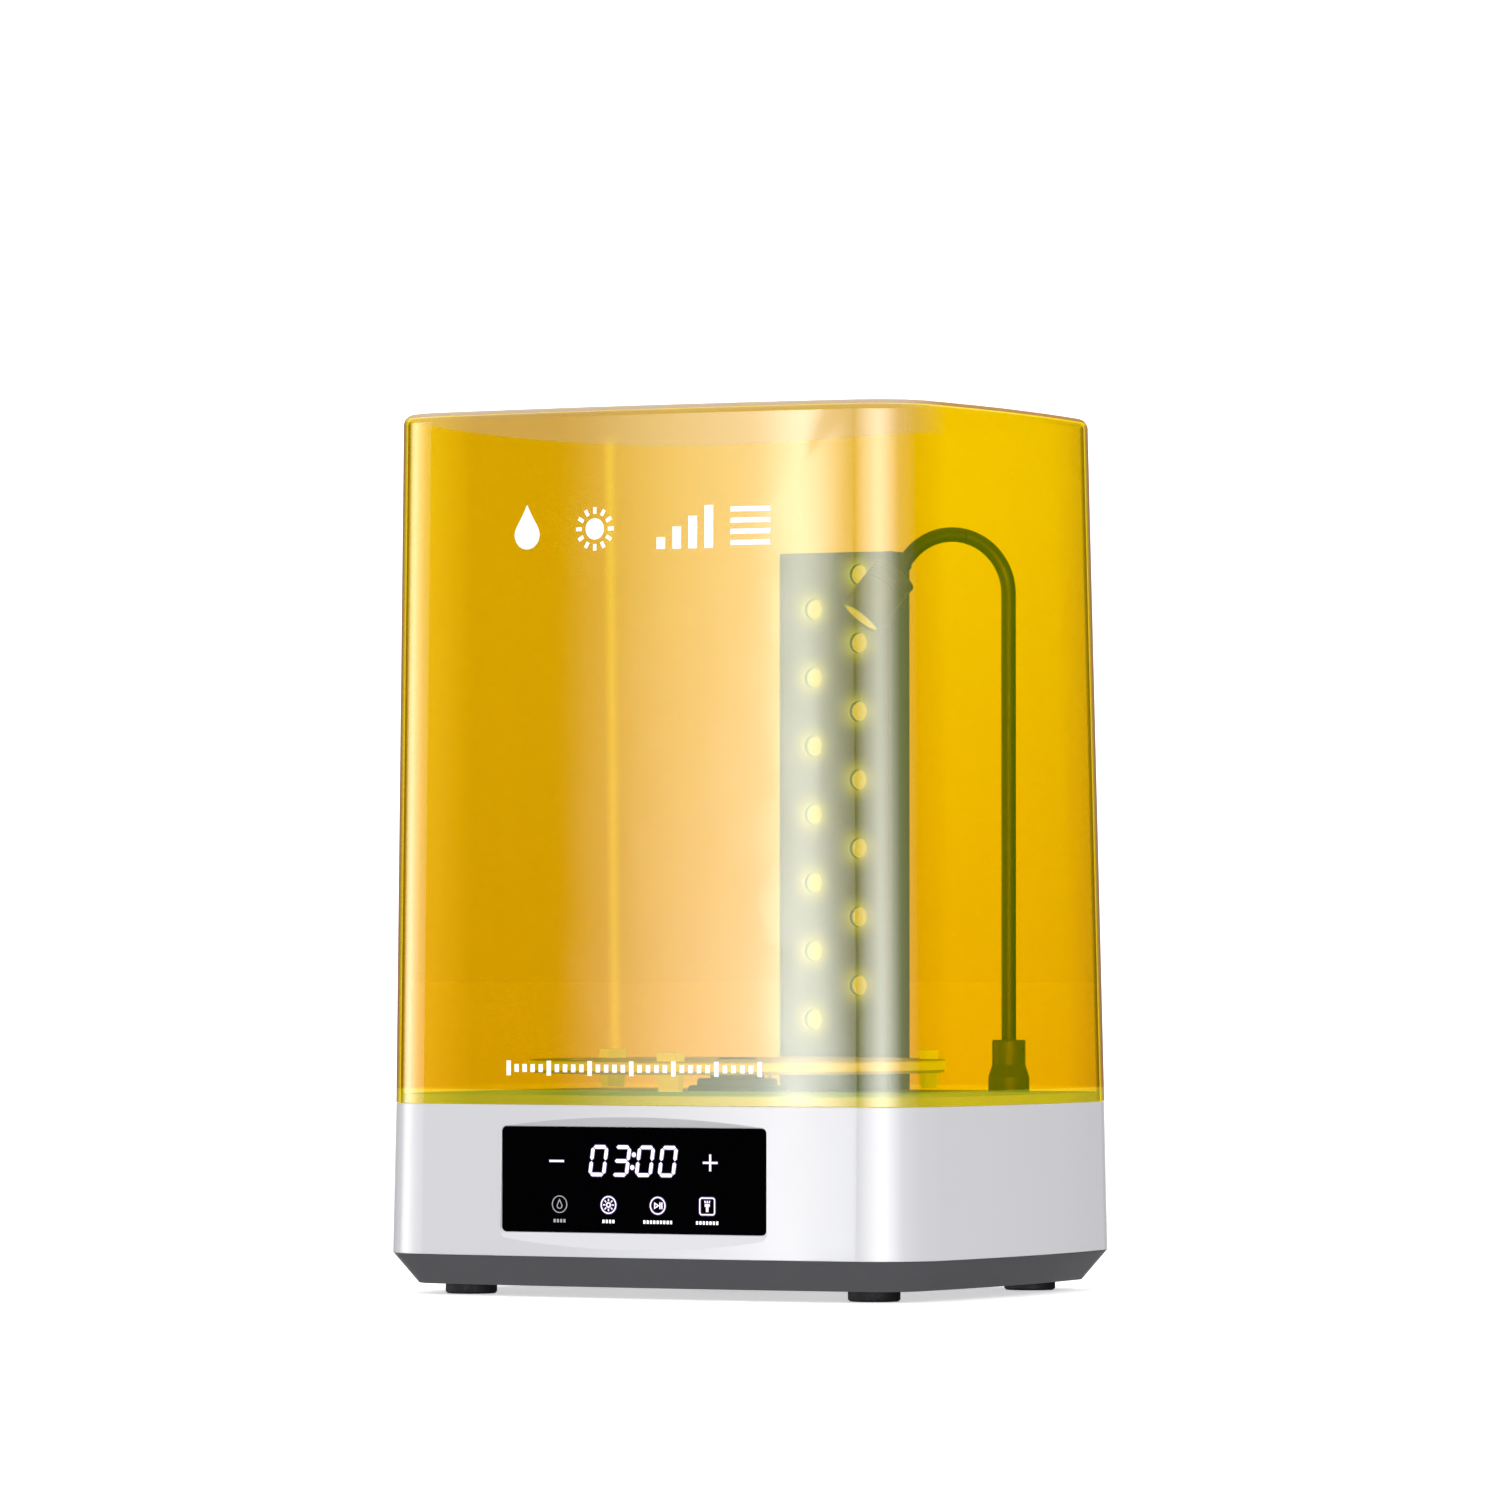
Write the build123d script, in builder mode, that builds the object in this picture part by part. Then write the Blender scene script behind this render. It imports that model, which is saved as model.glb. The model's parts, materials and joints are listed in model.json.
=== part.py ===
"""Resin wash and cure station: a base with a motor drive, a lamp bar, a gooseneck lamp, and a lift-off cover.

Millimetres. +Z is up, the touch panel faces -Y, and the origin is on the floor under the middle of the base.
"""
from build123d import *
import math
import os

os.makedirs("parts", exist_ok=True)

# ---------------------------------------------------------------- driving dimensions
WIDTH = 324.0            # side to side, at the widest level of the base
DEPTH = 262.0            # front to back, at the same level
HEIGHT = 450.0           # floor to the top of the cover
CORNER_RADIUS = 36.0     # upright corners of the plan
FRONT_TURN = 6.0         # degrees that the bowed front turns from its middle to a corner
SIDE_TURN = 7.0          # the same for the bowed sides

FOOT_HEIGHT = 5.5        # also the height of the underside of the base pan
PAN_TOP = 20.8
SHELL_BOTTOM = 21.0
SEAM = 97.4              # where the cover stands on the base
DECK_TOP = 102.3         # the floor of the curing chamber
SHELL_DRAFT = 1.7        # inset of the base from SHELL_BOTTOM up to SEAM
WALL = 2.6               # moulded walls of the base

COVER_WALL = 2.3
COVER_GAP = 0.3          # between cover and base when it is on
COVER_SIDE_LEAN = 3.6    # inward lean of each wall from SEAM to HEIGHT
COVER_FRONT_LEAN = 2.0
COVER_BACK_LEAN = 13.0
COVER_EDGE_RADIUS = 5.0

TABLE_CENTRE = (0.0, -16.0)
TABLE_RADIUS = 107.0
TABLE_TOP = 119.6
TABLE_THICKNESS = 6.7

BAR_WIDTH = 66.8
BAR_DEPTH = 22.0
BAR_FRONT = 92.5         # Y of the lamp bar's front face
BAR_TOP = 384.4
LED_PITCH = 17.95        # height step from one LED to the next, on the other side
LED_LOWEST = 139.2
LED_SIDE = 13.3          # each LED column's distance from the middle of the bar
LED_COUNT = 14

NECK_PLACE = (105.5, 85.0)
NECK_HEADING = 225.0     # degrees, the way that the gooseneck leans in plan
NECK_RADIUS = 3.8
NECK_ARCH_RADIUS = 30.4
NECK_ARCH_HEIGHT = 360.3  # where the upright stem turns into the arch
NECK_ARCH_TURN = 140.8
LAMP_RADIUS = 12.1
LAMP_LENGTH = 30.0

PANEL_WIDTH = 151.0
PANEL_HEIGHT = 53.0
PANEL_MIDDLE = 59.9      # height of the middle of the touch panel
PANEL_FACE = -127.2      # Y of the glass
GLASS = 1.8
PANEL_SCOOP = 2.2        # how fast the recess widens above and below the glass


# ---------------------------------------------------------------- the plan outline
def bow_radii(width, depth, corner):
    """Radii of the front and side bows that meet the corner arcs smoothly."""
    front = math.radians(FRONT_TURN)
    side = math.radians(SIDE_TURN)
    across = width / 2 + corner * math.sin(front) - corner * math.cos(side)
    along = depth / 2 + corner * math.sin(side) - corner * math.cos(front)
    front_rise = 1 - math.cos(front)
    side_rise = 1 - math.cos(side)
    scale = math.sin(front) * math.sin(side) - front_rise * side_rise
    front_bow = (across * math.sin(side) - along * side_rise) / scale
    side_bow = (along * math.sin(front) - across * front_rise) / scale
    return front_bow, side_bow


def plan_outline(inset, side_lean=0.0, front_lean=0.0, back_lean=0.0):
    """Fill the plan, inset and leaned in, in the sketch that is open."""
    width = WIDTH - 2 * inset - 2 * side_lean
    depth = DEPTH - 2 * inset - front_lean - back_lean
    corner = CORNER_RADIUS - inset
    middle = (front_lean - back_lean) / 2
    front_bow, side_bow = bow_radii(width, depth, corner)
    front = math.radians(FRONT_TURN)
    side = math.radians(SIDE_TURN)
    bow_end = (front_bow * math.sin(front), depth / 2 - front_bow * (1 - math.cos(front)))
    side_end = (width / 2 - side_bow * (1 - math.cos(side)), side_bow * math.sin(side))
    centre = (bow_end[0] - corner * math.sin(front), bow_end[1] - corner * math.cos(front))
    half_way = (math.pi / 2 - side + front) / 2
    corner_middle = (centre[0] + corner * math.sin(half_way), centre[1] + corner * math.cos(half_way))

    def at(point, sign_x, sign_y):
        return (sign_x * point[0], middle + sign_y * point[1])

    with BuildLine() as outline:
        for sign_y in (-1, 1):
            ThreePointArc(at(bow_end, -1, sign_y), (0, middle + sign_y * depth / 2), at(bow_end, 1, sign_y))
        for sign_x in (-1, 1):
            ThreePointArc(
                at(side_end, sign_x, -1), (sign_x * width / 2, middle), at(side_end, sign_x, 1)
            )
            for sign_y in (-1, 1):
                ThreePointArc(
                    at(bow_end, sign_x, sign_y), at(corner_middle, sign_x, sign_y), at(side_end, sign_x, sign_y)
                )
    make_face(outline.edges())


def finish(builder, name):
    """Label a finished piece and write it."""
    builder.part.label = name
    export_step(builder.part, f"parts/{name}.step")


# ---------------------------------------------------------------- base shell
RIM_INSET = 4.8          # outside of the raised rim that the cover slides over
RIM_WALL = 2.4
LEDGE_INSET = 14.0       # edge of the opening under the deck
SHELF = 2.6              # thickness of the top of the base shell
BOSS_PLACES = [(x, y) for x in (-138.0, 138.0) for y in (-70.0, 70.0)]
BOSS_RADIUS = 4.5
BOSS_BOTTOM = 10.0
SCREW_RADIUS = 1.5

INLET_PLATE = 127.5      # Y of the flat field at the rear
INLET_MIDDLE = (-35.0, 44.0)
INLET_SIZE = (66.0, 26.0)
JACK_PLACE = (-54.0, 44.0)
SWITCH_PLACE = (-20.0, 44.0)
JACK_NOSE_RADIUS = 5.0
SWITCH_CUT = (20.4, 13.9)

FRAME_BACK = -122.2      # Y of the back of the panel frame
FRAME_SIZE = (PANEL_WIDTH + 14, 68.0)
WINDOW = (132.0, 44.0)
RECESS_REACH = 8.0
PANEL_SCREW_PLACES = [(x, PANEL_MIDDLE + z) for x in (-71.0, 71.0) for z in (-20.0, 20.0)]

with BuildPart() as panel_frame:
    with BuildSketch(Plane.XZ.offset(-FRAME_BACK)):
        with Locations((0, PANEL_MIDDLE)):
            Rectangle(*FRAME_SIZE)
    extrude(amount=10)
    with BuildSketch(Plane.XY.offset(SHELL_BOTTOM)):
        plan_outline(0.5)
    with BuildSketch(Plane.XY.offset(SEAM)):
        plan_outline(0.5 + SHELL_DRAFT)
    loft(ruled=True, mode=Mode.INTERSECT)

with BuildPart() as base_shell:
    with BuildSketch(Plane.XY.offset(SHELL_BOTTOM)):
        plan_outline(0)
    with BuildSketch(Plane.XY.offset(SEAM)):
        plan_outline(SHELL_DRAFT)
    loft(ruled=True)
    with BuildSketch(Plane.XY.offset(SHELL_BOTTOM)):
        plan_outline(WALL)
    with BuildSketch(Plane.XY.offset(SEAM - SHELF)):
        plan_outline(WALL + SHELL_DRAFT)
    loft(ruled=True, mode=Mode.SUBTRACT)
    with BuildSketch(Plane.XY.offset(SEAM)):
        plan_outline(RIM_INSET)
    extrude(amount=DECK_TOP - SEAM)
    with BuildSketch(Plane.XY.offset(SEAM)):
        plan_outline(RIM_INSET + RIM_WALL)
    extrude(amount=DECK_TOP - SEAM, mode=Mode.SUBTRACT)
    with BuildSketch(Plane.XY.offset(SEAM - SHELF)):
        plan_outline(LEDGE_INSET)
    extrude(amount=SHELF, mode=Mode.SUBTRACT)
    # scooped recess for the touch panel, wider outward above and below the glass
    add(panel_frame.part)
    with BuildSketch(Plane.XZ.offset(-PANEL_FACE)):
        with Locations((0, PANEL_MIDDLE)):
            RectangleRounded(PANEL_WIDTH + 0.6, PANEL_HEIGHT + 0.6, 2.8)
    with BuildSketch(Plane.XZ.offset(-PANEL_FACE + RECESS_REACH)):
        with Locations((0, PANEL_MIDDLE)):
            RectangleRounded(
                PANEL_WIDTH + 0.6 + RECESS_REACH,
                PANEL_HEIGHT + 0.6 + 2 * PANEL_SCOOP * RECESS_REACH,
                2.8,
            )
    loft(ruled=True, mode=Mode.SUBTRACT)
    with BuildSketch(Plane.XZ.offset(-PANEL_FACE)):
        with Locations((0, PANEL_MIDDLE)):
            RectangleRounded(PANEL_WIDTH + 0.6, PANEL_HEIGHT + 0.6, 2.8)
    extrude(amount=-GLASS, mode=Mode.SUBTRACT)
    with BuildSketch(Plane.XZ.offset(-PANEL_FACE)):
        with Locations((0, PANEL_MIDDLE)):
            Rectangle(*WINDOW)
    extrude(amount=PANEL_FACE - FRAME_BACK, mode=Mode.SUBTRACT)
    with BuildSketch(Plane.XZ.offset(-FRAME_BACK)):
        with Locations(*PANEL_SCREW_PLACES):
            Circle(SCREW_RADIUS)
    extrude(amount=2.6, mode=Mode.SUBTRACT)
    # flat field for the power inlet and the switch
    with BuildSketch(Plane.XZ.offset(-INLET_PLATE - 0.5)):
        with Locations((INLET_MIDDLE[0], INLET_MIDDLE[1])):
            Rectangle(INLET_SIZE[0] + 6, INLET_SIZE[1] + 6)
    extrude(amount=WALL + 0.9)
    with BuildSketch(Plane.XZ.offset(-INLET_PLATE)):
        with Locations((INLET_MIDDLE[0], INLET_MIDDLE[1])):
            RectangleRounded(INLET_SIZE[0], INLET_SIZE[1], 4)
    extrude(amount=-8, mode=Mode.SUBTRACT)
    with BuildSketch(Plane.XZ.offset(-INLET_PLATE)):
        with Locations(JACK_PLACE):
            Circle(JACK_NOSE_RADIUS)
        with Locations(SWITCH_PLACE):
            Rectangle(*SWITCH_CUT)
    extrude(amount=WALL + 0.4, mode=Mode.SUBTRACT)
    # bosses for the pan screws, each on a rib from the side wall
    for boss_x, boss_y in BOSS_PLACES:
        outward = 1 if boss_x > 0 else -1
        with BuildSketch(Plane.XY.offset(BOSS_BOTTOM)):
            with Locations((boss_x, boss_y)):
                Circle(BOSS_RADIUS)
        extrude(amount=70)
        with BuildSketch(Plane.XY.offset(SHELL_BOTTOM + 6)):
            with Locations((boss_x + outward * 10, boss_y)):
                Rectangle(18, 3)
        extrude(amount=60)
        with BuildSketch(Plane.XY.offset(BOSS_BOTTOM)):
            with Locations((boss_x, boss_y)):
                Circle(SCREW_RADIUS)
        extrude(amount=14, mode=Mode.SUBTRACT)
finish(base_shell, "base_shell")

# ---------------------------------------------------------------- bottom pan and feet
PAN_CHAMFER = 13.5       # inset of the pan's underside
PAN_WALL = 2.5
PAN_FLOOR_TOP = FOOT_HEIGHT + PAN_WALL
PAD_TOP = BOSS_BOTTOM
PAN_SCREW_SEAT = FOOT_HEIGHT + 2.2
FOOT_PLACES = [(x, y) for x in (-116.0, 116.0) for y in (-88.0, 88.0)]
FOOT_RADIUS = 13.2
FOOT_STEM_RADIUS = 3.0
BOARD_MIDDLE = (-88.0, 36.0)
BOARD_SIZE = (80.0, 76.0)
BOARD_BOTTOM = 16.0
BOARD_THICKNESS = 1.6
BOARD_HOLES = [
    (BOARD_MIDDLE[0] + sx * (BOARD_SIZE[0] / 2 - 5), BOARD_MIDDLE[1] + sy * (BOARD_SIZE[1] / 2 - 5))
    for sx in (-1, 1)
    for sy in (-1, 1)
]
LEG_PLACES = [(TABLE_CENTRE[0] + sx * 34.0, TABLE_CENTRE[1] + sy * 24.0) for sx in (-1, 1) for sy in (-1, 1)]

with BuildPart() as bottom_pan:
    with BuildSketch(Plane.XY.offset(FOOT_HEIGHT)):
        plan_outline(PAN_CHAMFER)
    with BuildSketch(Plane.XY.offset(PAN_TOP)):
        plan_outline(0.4)
    loft(ruled=True)
    with BuildSketch(Plane.XY.offset(PAN_FLOOR_TOP)):
        plan_outline(PAN_CHAMFER + 1.2)
    with BuildSketch(Plane.XY.offset(PAN_TOP)):
        plan_outline(3.2)
    loft(ruled=True, mode=Mode.SUBTRACT)
    # lip that stands inside the base shell
    with BuildSketch(Plane.XY.offset(PAN_TOP - 1)):
        plan_outline(3.0)
    extrude(amount=5)
    with BuildSketch(Plane.XY.offset(PAN_TOP - 1)):
        plan_outline(5.0)
    extrude(amount=5, mode=Mode.SUBTRACT)
    # pads under the shell bosses, posts for the control board
    for place in BOSS_PLACES:
        with BuildSketch(Plane.XY.offset(FOOT_HEIGHT)):
            with Locations(place):
                Circle(BOSS_RADIUS + 1.5)
        extrude(amount=PAD_TOP - FOOT_HEIGHT)
    with BuildSketch(Plane.XY.offset(FOOT_HEIGHT + 1)):
        with Locations(*BOARD_HOLES):
            Circle(3.5)
    extrude(amount=BOARD_BOTTOM - FOOT_HEIGHT - 1)
    with BuildSketch(Plane.XY.offset(PAN_FLOOR_TOP)):
        with Locations(*BOARD_HOLES):
            Circle(SCREW_RADIUS)
    extrude(amount=BOARD_BOTTOM - PAN_FLOOR_TOP, mode=Mode.SUBTRACT)
    # screw holes with room for the heads, and holes for the feet
    with BuildSketch(Plane.XY.offset(FOOT_HEIGHT)):
        with Locations(*BOSS_PLACES, *LEG_PLACES):
            Circle(SCREW_RADIUS + 0.2)
        with Locations(*FOOT_PLACES):
            Circle(FOOT_STEM_RADIUS)
    extrude(amount=PAD_TOP - FOOT_HEIGHT, mode=Mode.SUBTRACT)
    with BuildSketch(Plane.XY.offset(FOOT_HEIGHT)):
        with Locations(*BOSS_PLACES):
            Circle(3.2)
    extrude(amount=PAN_SCREW_SEAT - FOOT_HEIGHT, mode=Mode.SUBTRACT)
    # air slots under the motor
    with BuildSketch(Plane.XY.offset(FOOT_HEIGHT)):
        with Locations(TABLE_CENTRE):
            with GridLocations(7.0, 1.0, 7, 1):
                SlotOverall(30, 3, rotation=90)
    extrude(amount=PAN_WALL, mode=Mode.SUBTRACT)
finish(bottom_pan, "bottom_pan")

with BuildPart() as rubber_feet:
    with BuildSketch(Plane.XY):
        with Locations(*FOOT_PLACES):
            Circle(FOOT_RADIUS)
    extrude(amount=FOOT_HEIGHT)
    chamfer(rubber_feet.faces().sort_by(Axis.Z)[:4].edges(), 1.0)
    with BuildSketch(Plane.XY.offset(FOOT_HEIGHT)):
        with Locations(*FOOT_PLACES):
            Circle(FOOT_STEM_RADIUS)
    extrude(amount=PAN_WALL)
finish(rubber_feet, "rubber_feet")

# ---------------------------------------------------------------- deck
DECK_INSET = RIM_INSET + RIM_WALL + 0.3
DECK_THICKNESS = 2.8
SEAL_THICKNESS = 0.8
BAR_MIDDLE = (0.0, BAR_FRONT + BAR_DEPTH / 2)
BAR_WALL = 2.2
TENON = (58.0, 13.0)
TENON_MIDDLE = (0.0, BAR_FRONT + BAR_DEPTH - BAR_WALL - TENON[1] / 2)
BOOT_SPIGOT_RADIUS = 5.8
LOCATING_RING = (26.0, 28.0)

with BuildPart() as deck_plate:
    with BuildSketch(Plane.XY.offset(SEAM + SEAL_THICKNESS)):
        plan_outline(DECK_INSET)
    extrude(amount=DECK_TOP - SEAM - SEAL_THICKNESS)
    chamfer(deck_plate.faces().sort_by(Axis.Z)[-1].edges(), 0.5)
    with BuildSketch(Plane.XY.offset(SEAM + SEAL_THICKNESS)):
        plan_outline(DECK_INSET + 5)
    extrude(amount=DECK_TOP - DECK_THICKNESS - SEAM - SEAL_THICKNESS, mode=Mode.SUBTRACT)
    with BuildSketch(Plane.XY.offset(DECK_TOP)):
        with Locations(TABLE_CENTRE):
            Circle(LOCATING_RING[1])
            Circle(LOCATING_RING[0], mode=Mode.SUBTRACT)
    extrude(amount=1.0)
    with BuildSketch(Plane.XY.offset(DECK_TOP - DECK_THICKNESS)):
        with Locations(TENON_MIDDLE):
            Rectangle(TENON[0] + 0.4, TENON[1] + 0.4)
        with Locations(NECK_PLACE):
            Circle(BOOT_SPIGOT_RADIUS + 0.1)
    extrude(amount=DECK_THICKNESS, mode=Mode.SUBTRACT)
finish(deck_plate, "deck_plate")

with BuildPart() as deck_seal:
    with BuildSketch(Plane.XY.offset(SEAM)):
        plan_outline(DECK_INSET + 0.2)
    extrude(amount=SEAL_THICKNESS)
    with BuildSketch(Plane.XY.offset(SEAM)):
        plan_outline(DECK_INSET + 4.8)
    extrude(amount=SEAL_THICKNESS, mode=Mode.SUBTRACT)
finish(deck_seal, "deck_seal")

# ---------------------------------------------------------------- touch panel
SYMBOL_PROUD = 0.2
KEY_ROW = 47.4           # height of the row of round keys
KEY_PITCH = 28.2
DIGIT_ROW = 69.6
DIGIT_SIZE = (9.5, 15.6)
DIGIT_SLANT = 8.0
STROKE = 1.7

with BuildPart() as touch_panel_glass:
    with BuildSketch(Plane.XZ.offset(-PANEL_FACE)):
        with Locations((0, PANEL_MIDDLE)):
            RectangleRounded(PANEL_WIDTH, PANEL_HEIGHT, 2.5)
    extrude(amount=-GLASS)
finish(touch_panel_glass, "touch_panel_glass")


def bar_shape(length, thick, angle):
    """A display segment: a short bar with pointed ends, in the sketch that is open."""
    half = length / 2
    tip = thick / 2
    outline = [(-half, 0), (-half + tip, tip), (half - tip, tip), (half, 0), (half - tip, -tip), (-half + tip, -tip)]
    turned = [
        (x * math.cos(angle) - y * math.sin(angle), x * math.sin(angle) + y * math.cos(angle)) for x, y in outline
    ]
    Polygon(*turned, align=None)


def slanted(x, y):
    """Lean a point of the digit display to the right."""
    return (x + y * math.tan(math.radians(DIGIT_SLANT)), y)


SEGMENTS = {
    "top": (0, 1, True), "middle": (0, 0, True), "bottom": (0, -1, True),
    "upper_left": (-1, 0.5, False), "upper_right": (1, 0.5, False),
    "lower_left": (-1, -0.5, False), "lower_right": (1, -0.5, False),
}
DIGIT_ZERO = ["top", "bottom", "upper_left", "upper_right", "lower_left", "lower_right"]
DIGIT_THREE = ["top", "middle", "bottom", "upper_right", "lower_right"]
DIGITS = [(-19.9, DIGIT_ZERO), (-6.8, DIGIT_THREE), (6.8, DIGIT_ZERO), (19.9, DIGIT_ZERO)]

with BuildPart() as digit_display:
    with BuildSketch(Plane.XZ.offset(-PANEL_FACE)):
        reach_x = (DIGIT_SIZE[0] - STROKE) / 2
        reach_y = (DIGIT_SIZE[1] - STROKE) / 2
        for digit_x, lit in DIGITS:
            for segment in lit:
                side, level, is_flat = SEGMENTS[segment]
                place_x, place_y = slanted(side * reach_x, level * reach_y)
                length = 2 * reach_x - 0.7 if is_flat else reach_y - 0.7
                lean = 0 if is_flat else math.radians(90 - DIGIT_SLANT)
                with Locations((digit_x + place_x, DIGIT_ROW + place_y)):
                    bar_shape(length, STROKE, lean)
        for dot_y in (-3.2, 3.2):
            dot_x, _ = slanted(0, dot_y)
            with Locations((dot_x, DIGIT_ROW + dot_y)):
                Circle(1.1)
    extrude(amount=SYMBOL_PROUD)
finish(digit_display, "digit_display")

KEY_RADIUS = 4.4
KEY_LINE = 0.45          # width of every line of the key symbols
SIGN_LINE = 0.9
SIGN_LENGTH = 8.2
SIGN_PLACES = [(side * 44.0, DIGIT_ROW - 0.4) for side in (-1, 1)]
KEY_PLACES = [((index - 1.5) * KEY_PITCH, KEY_ROW) for index in range(4)]
DROP_RADIUS = 1.6
DROP_MIDDLE = (KEY_PLACES[0][0], KEY_ROW - 0.7)
DROP_TIP = 2.2           # height of the drop's tip above its middle, in radii


def drop_outline(radius):
    """Fill a drop, a round bottom that narrows to a tip, in the sketch that is open."""
    slope = math.asin(1 / DROP_TIP)
    touch = (radius * math.cos(slope), radius * math.sin(slope))
    with BuildLine() as outline:
        ThreePointArc((-touch[0], touch[1]), (0, -radius), touch)
        Line(touch, (0, radius * DROP_TIP))
        Line((0, radius * DROP_TIP), (-touch[0], touch[1]))
    return make_face(outline.edges(), mode=Mode.PRIVATE)


with BuildPart() as key_symbols:
    with BuildSketch(Plane.XZ.offset(-PANEL_FACE)):
        with Locations(*SIGN_PLACES):
            Rectangle(SIGN_LENGTH, SIGN_LINE)
        with Locations(SIGN_PLACES[1]):
            Rectangle(SIGN_LINE, SIGN_LENGTH)
        # rings round the first three keys, a rounded frame round the last
        with Locations(*KEY_PLACES[:3]):
            Circle(KEY_RADIUS)
            Circle(KEY_RADIUS - KEY_LINE, mode=Mode.SUBTRACT)
        with Locations(KEY_PLACES[3]):
            RectangleRounded(2 * KEY_RADIUS, 2 * KEY_RADIUS, 1.4)
            RectangleRounded(2 * (KEY_RADIUS - KEY_LINE), 2 * (KEY_RADIUS - KEY_LINE), 1.0, mode=Mode.SUBTRACT)
        # a drop
        with Locations(DROP_MIDDLE):
            add(drop_outline(DROP_RADIUS))
            add(drop_outline(DROP_RADIUS - KEY_LINE), mode=Mode.SUBTRACT)
        # a sun
        with Locations(KEY_PLACES[1]):
            Circle(1.3)
            Circle(1.3 - KEY_LINE, mode=Mode.SUBTRACT)
            with PolarLocations(2.5, 8):
                Rectangle(1.1, KEY_LINE)
        # run and hold
        with Locations((KEY_PLACES[2][0] - 1.0, KEY_ROW)):
            RegularPolygon(1.9, 3)
            RegularPolygon(1.9 - 2 * KEY_LINE, 3, mode=Mode.SUBTRACT)
        with Locations((KEY_PLACES[2][0] + 1.3, KEY_ROW), (KEY_PLACES[2][0] + 2.4, KEY_ROW)):
            Rectangle(KEY_LINE, 3.2)
        # a hand lamp that shines upward
        with Locations((KEY_PLACES[3][0], KEY_ROW - 1.4)):
            Rectangle(1.2, 2.6)
        with Locations((KEY_PLACES[3][0], KEY_ROW + 0.5)):
            Rectangle(2.6, 1.2)
        for ray in (-1, 0, 1):
            with Locations((KEY_PLACES[3][0] + 1.2 * ray, KEY_ROW + 2.2)):
                Rectangle(KEY_LINE, 1.1, rotation=-20 * ray)
    extrude(amount=SYMBOL_PROUD)
finish(key_symbols, "key_symbols")

DISPLAY_BOARD = (150.0, 52.0)
with BuildPart() as display_board:
    with BuildSketch(Plane.XZ.offset(-FRAME_BACK)):
        with Locations((0, PANEL_MIDDLE)):
            Rectangle(*DISPLAY_BOARD)
        with Locations(*PANEL_SCREW_PLACES):
            Circle(SCREW_RADIUS + 0.2, mode=Mode.SUBTRACT)
    extrude(amount=-BOARD_THICKNESS)
finish(display_board, "display_board")

with BuildPart() as digit_module:
    with BuildSketch(Plane.XZ.offset(-FRAME_BACK)):
        with Locations((0, DIGIT_ROW)):
            Rectangle(60, 21)
    extrude(amount=FRAME_BACK - PANEL_FACE - GLASS - 0.1)
finish(digit_module, "digit_module")

# ---------------------------------------------------------------- control board
BOARD_TOP = BOARD_BOTTOM + BOARD_THICKNESS
with BuildPart() as control_board:
    with BuildSketch(Plane.XY.offset(BOARD_BOTTOM)):
        with Locations(BOARD_MIDDLE):
            Rectangle(*BOARD_SIZE)
        with Locations(*BOARD_HOLES):
            Circle(1.7, mode=Mode.SUBTRACT)
    extrude(amount=BOARD_THICKNESS)
finish(control_board, "control_board")

# each entry is (x, y, width, depth, height) from the middle of the board
BOARD_BLOCKS = [
    (-6, 4, 12, 12, 1.4), (10, 10, 7, 6, 1.2), (10, -4, 7, 6, 1.2), (-24, 20, 14, 14, 7),
    (26, 20, 6, 16, 9), (26, -4, 6, 14, 9), (26, -22, 6, 12, 9), (-20, -30, 18, 6, 9), (4, -30, 12, 6, 9),
]
BOARD_CANS = [(-28, 0, 5, 13), (-28, -13, 4, 11), (8, 26, 4, 11)]
with BuildPart() as board_parts:
    for part_x, part_y, part_w, part_d, part_h in BOARD_BLOCKS:
        with BuildSketch(Plane.XY.offset(BOARD_TOP)):
            with Locations((BOARD_MIDDLE[0] + part_x, BOARD_MIDDLE[1] + part_y)):
                Rectangle(part_w, part_d)
        extrude(amount=part_h)
    for can_x, can_y, can_radius, can_height in BOARD_CANS:
        with BuildSketch(Plane.XY.offset(BOARD_TOP)):
            with Locations((BOARD_MIDDLE[0] + can_x, BOARD_MIDDLE[1] + can_y)):
                Circle(can_radius)
        extrude(amount=can_height)
finish(board_parts, "board_parts")

# ---------------------------------------------------------------- power inlet and switch
JACK_BORE_RADIUS = 3.1
JACK_BACK = 112.0
with BuildPart() as dc_jack:
    with BuildSketch(Plane.XZ.offset(-INLET_PLATE + WALL + 0.4)):
        with Locations(JACK_PLACE):
            Rectangle(14, 12)
    extrude(amount=INLET_PLATE - WALL - 0.4 - JACK_BACK)
    with BuildSketch(Plane.XZ.offset(-INLET_PLATE + WALL + 0.4)):
        with Locations(JACK_PLACE):
            Circle(JACK_NOSE_RADIUS - 0.1)
    extrude(amount=-(WALL + 0.4))
    with BuildSketch(Plane.XZ.offset(-INLET_PLATE)):
        with Locations(JACK_PLACE):
            Circle(6.4)
    extrude(amount=-0.9)
    with BuildSketch(Plane.XZ.offset(-INLET_PLATE - 0.9)):
        with Locations(JACK_PLACE):
            Circle(JACK_BORE_RADIUS)
    extrude(amount=11, mode=Mode.SUBTRACT)
finish(dc_jack, "dc_jack")

with BuildPart() as jack_pin:
    with BuildSketch(Plane.XZ.offset(-INLET_PLATE + 0.5)):
        with Locations(JACK_PLACE):
            Circle(1.05)
    extrude(amount=9.6)
finish(jack_pin, "jack_pin")

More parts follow.
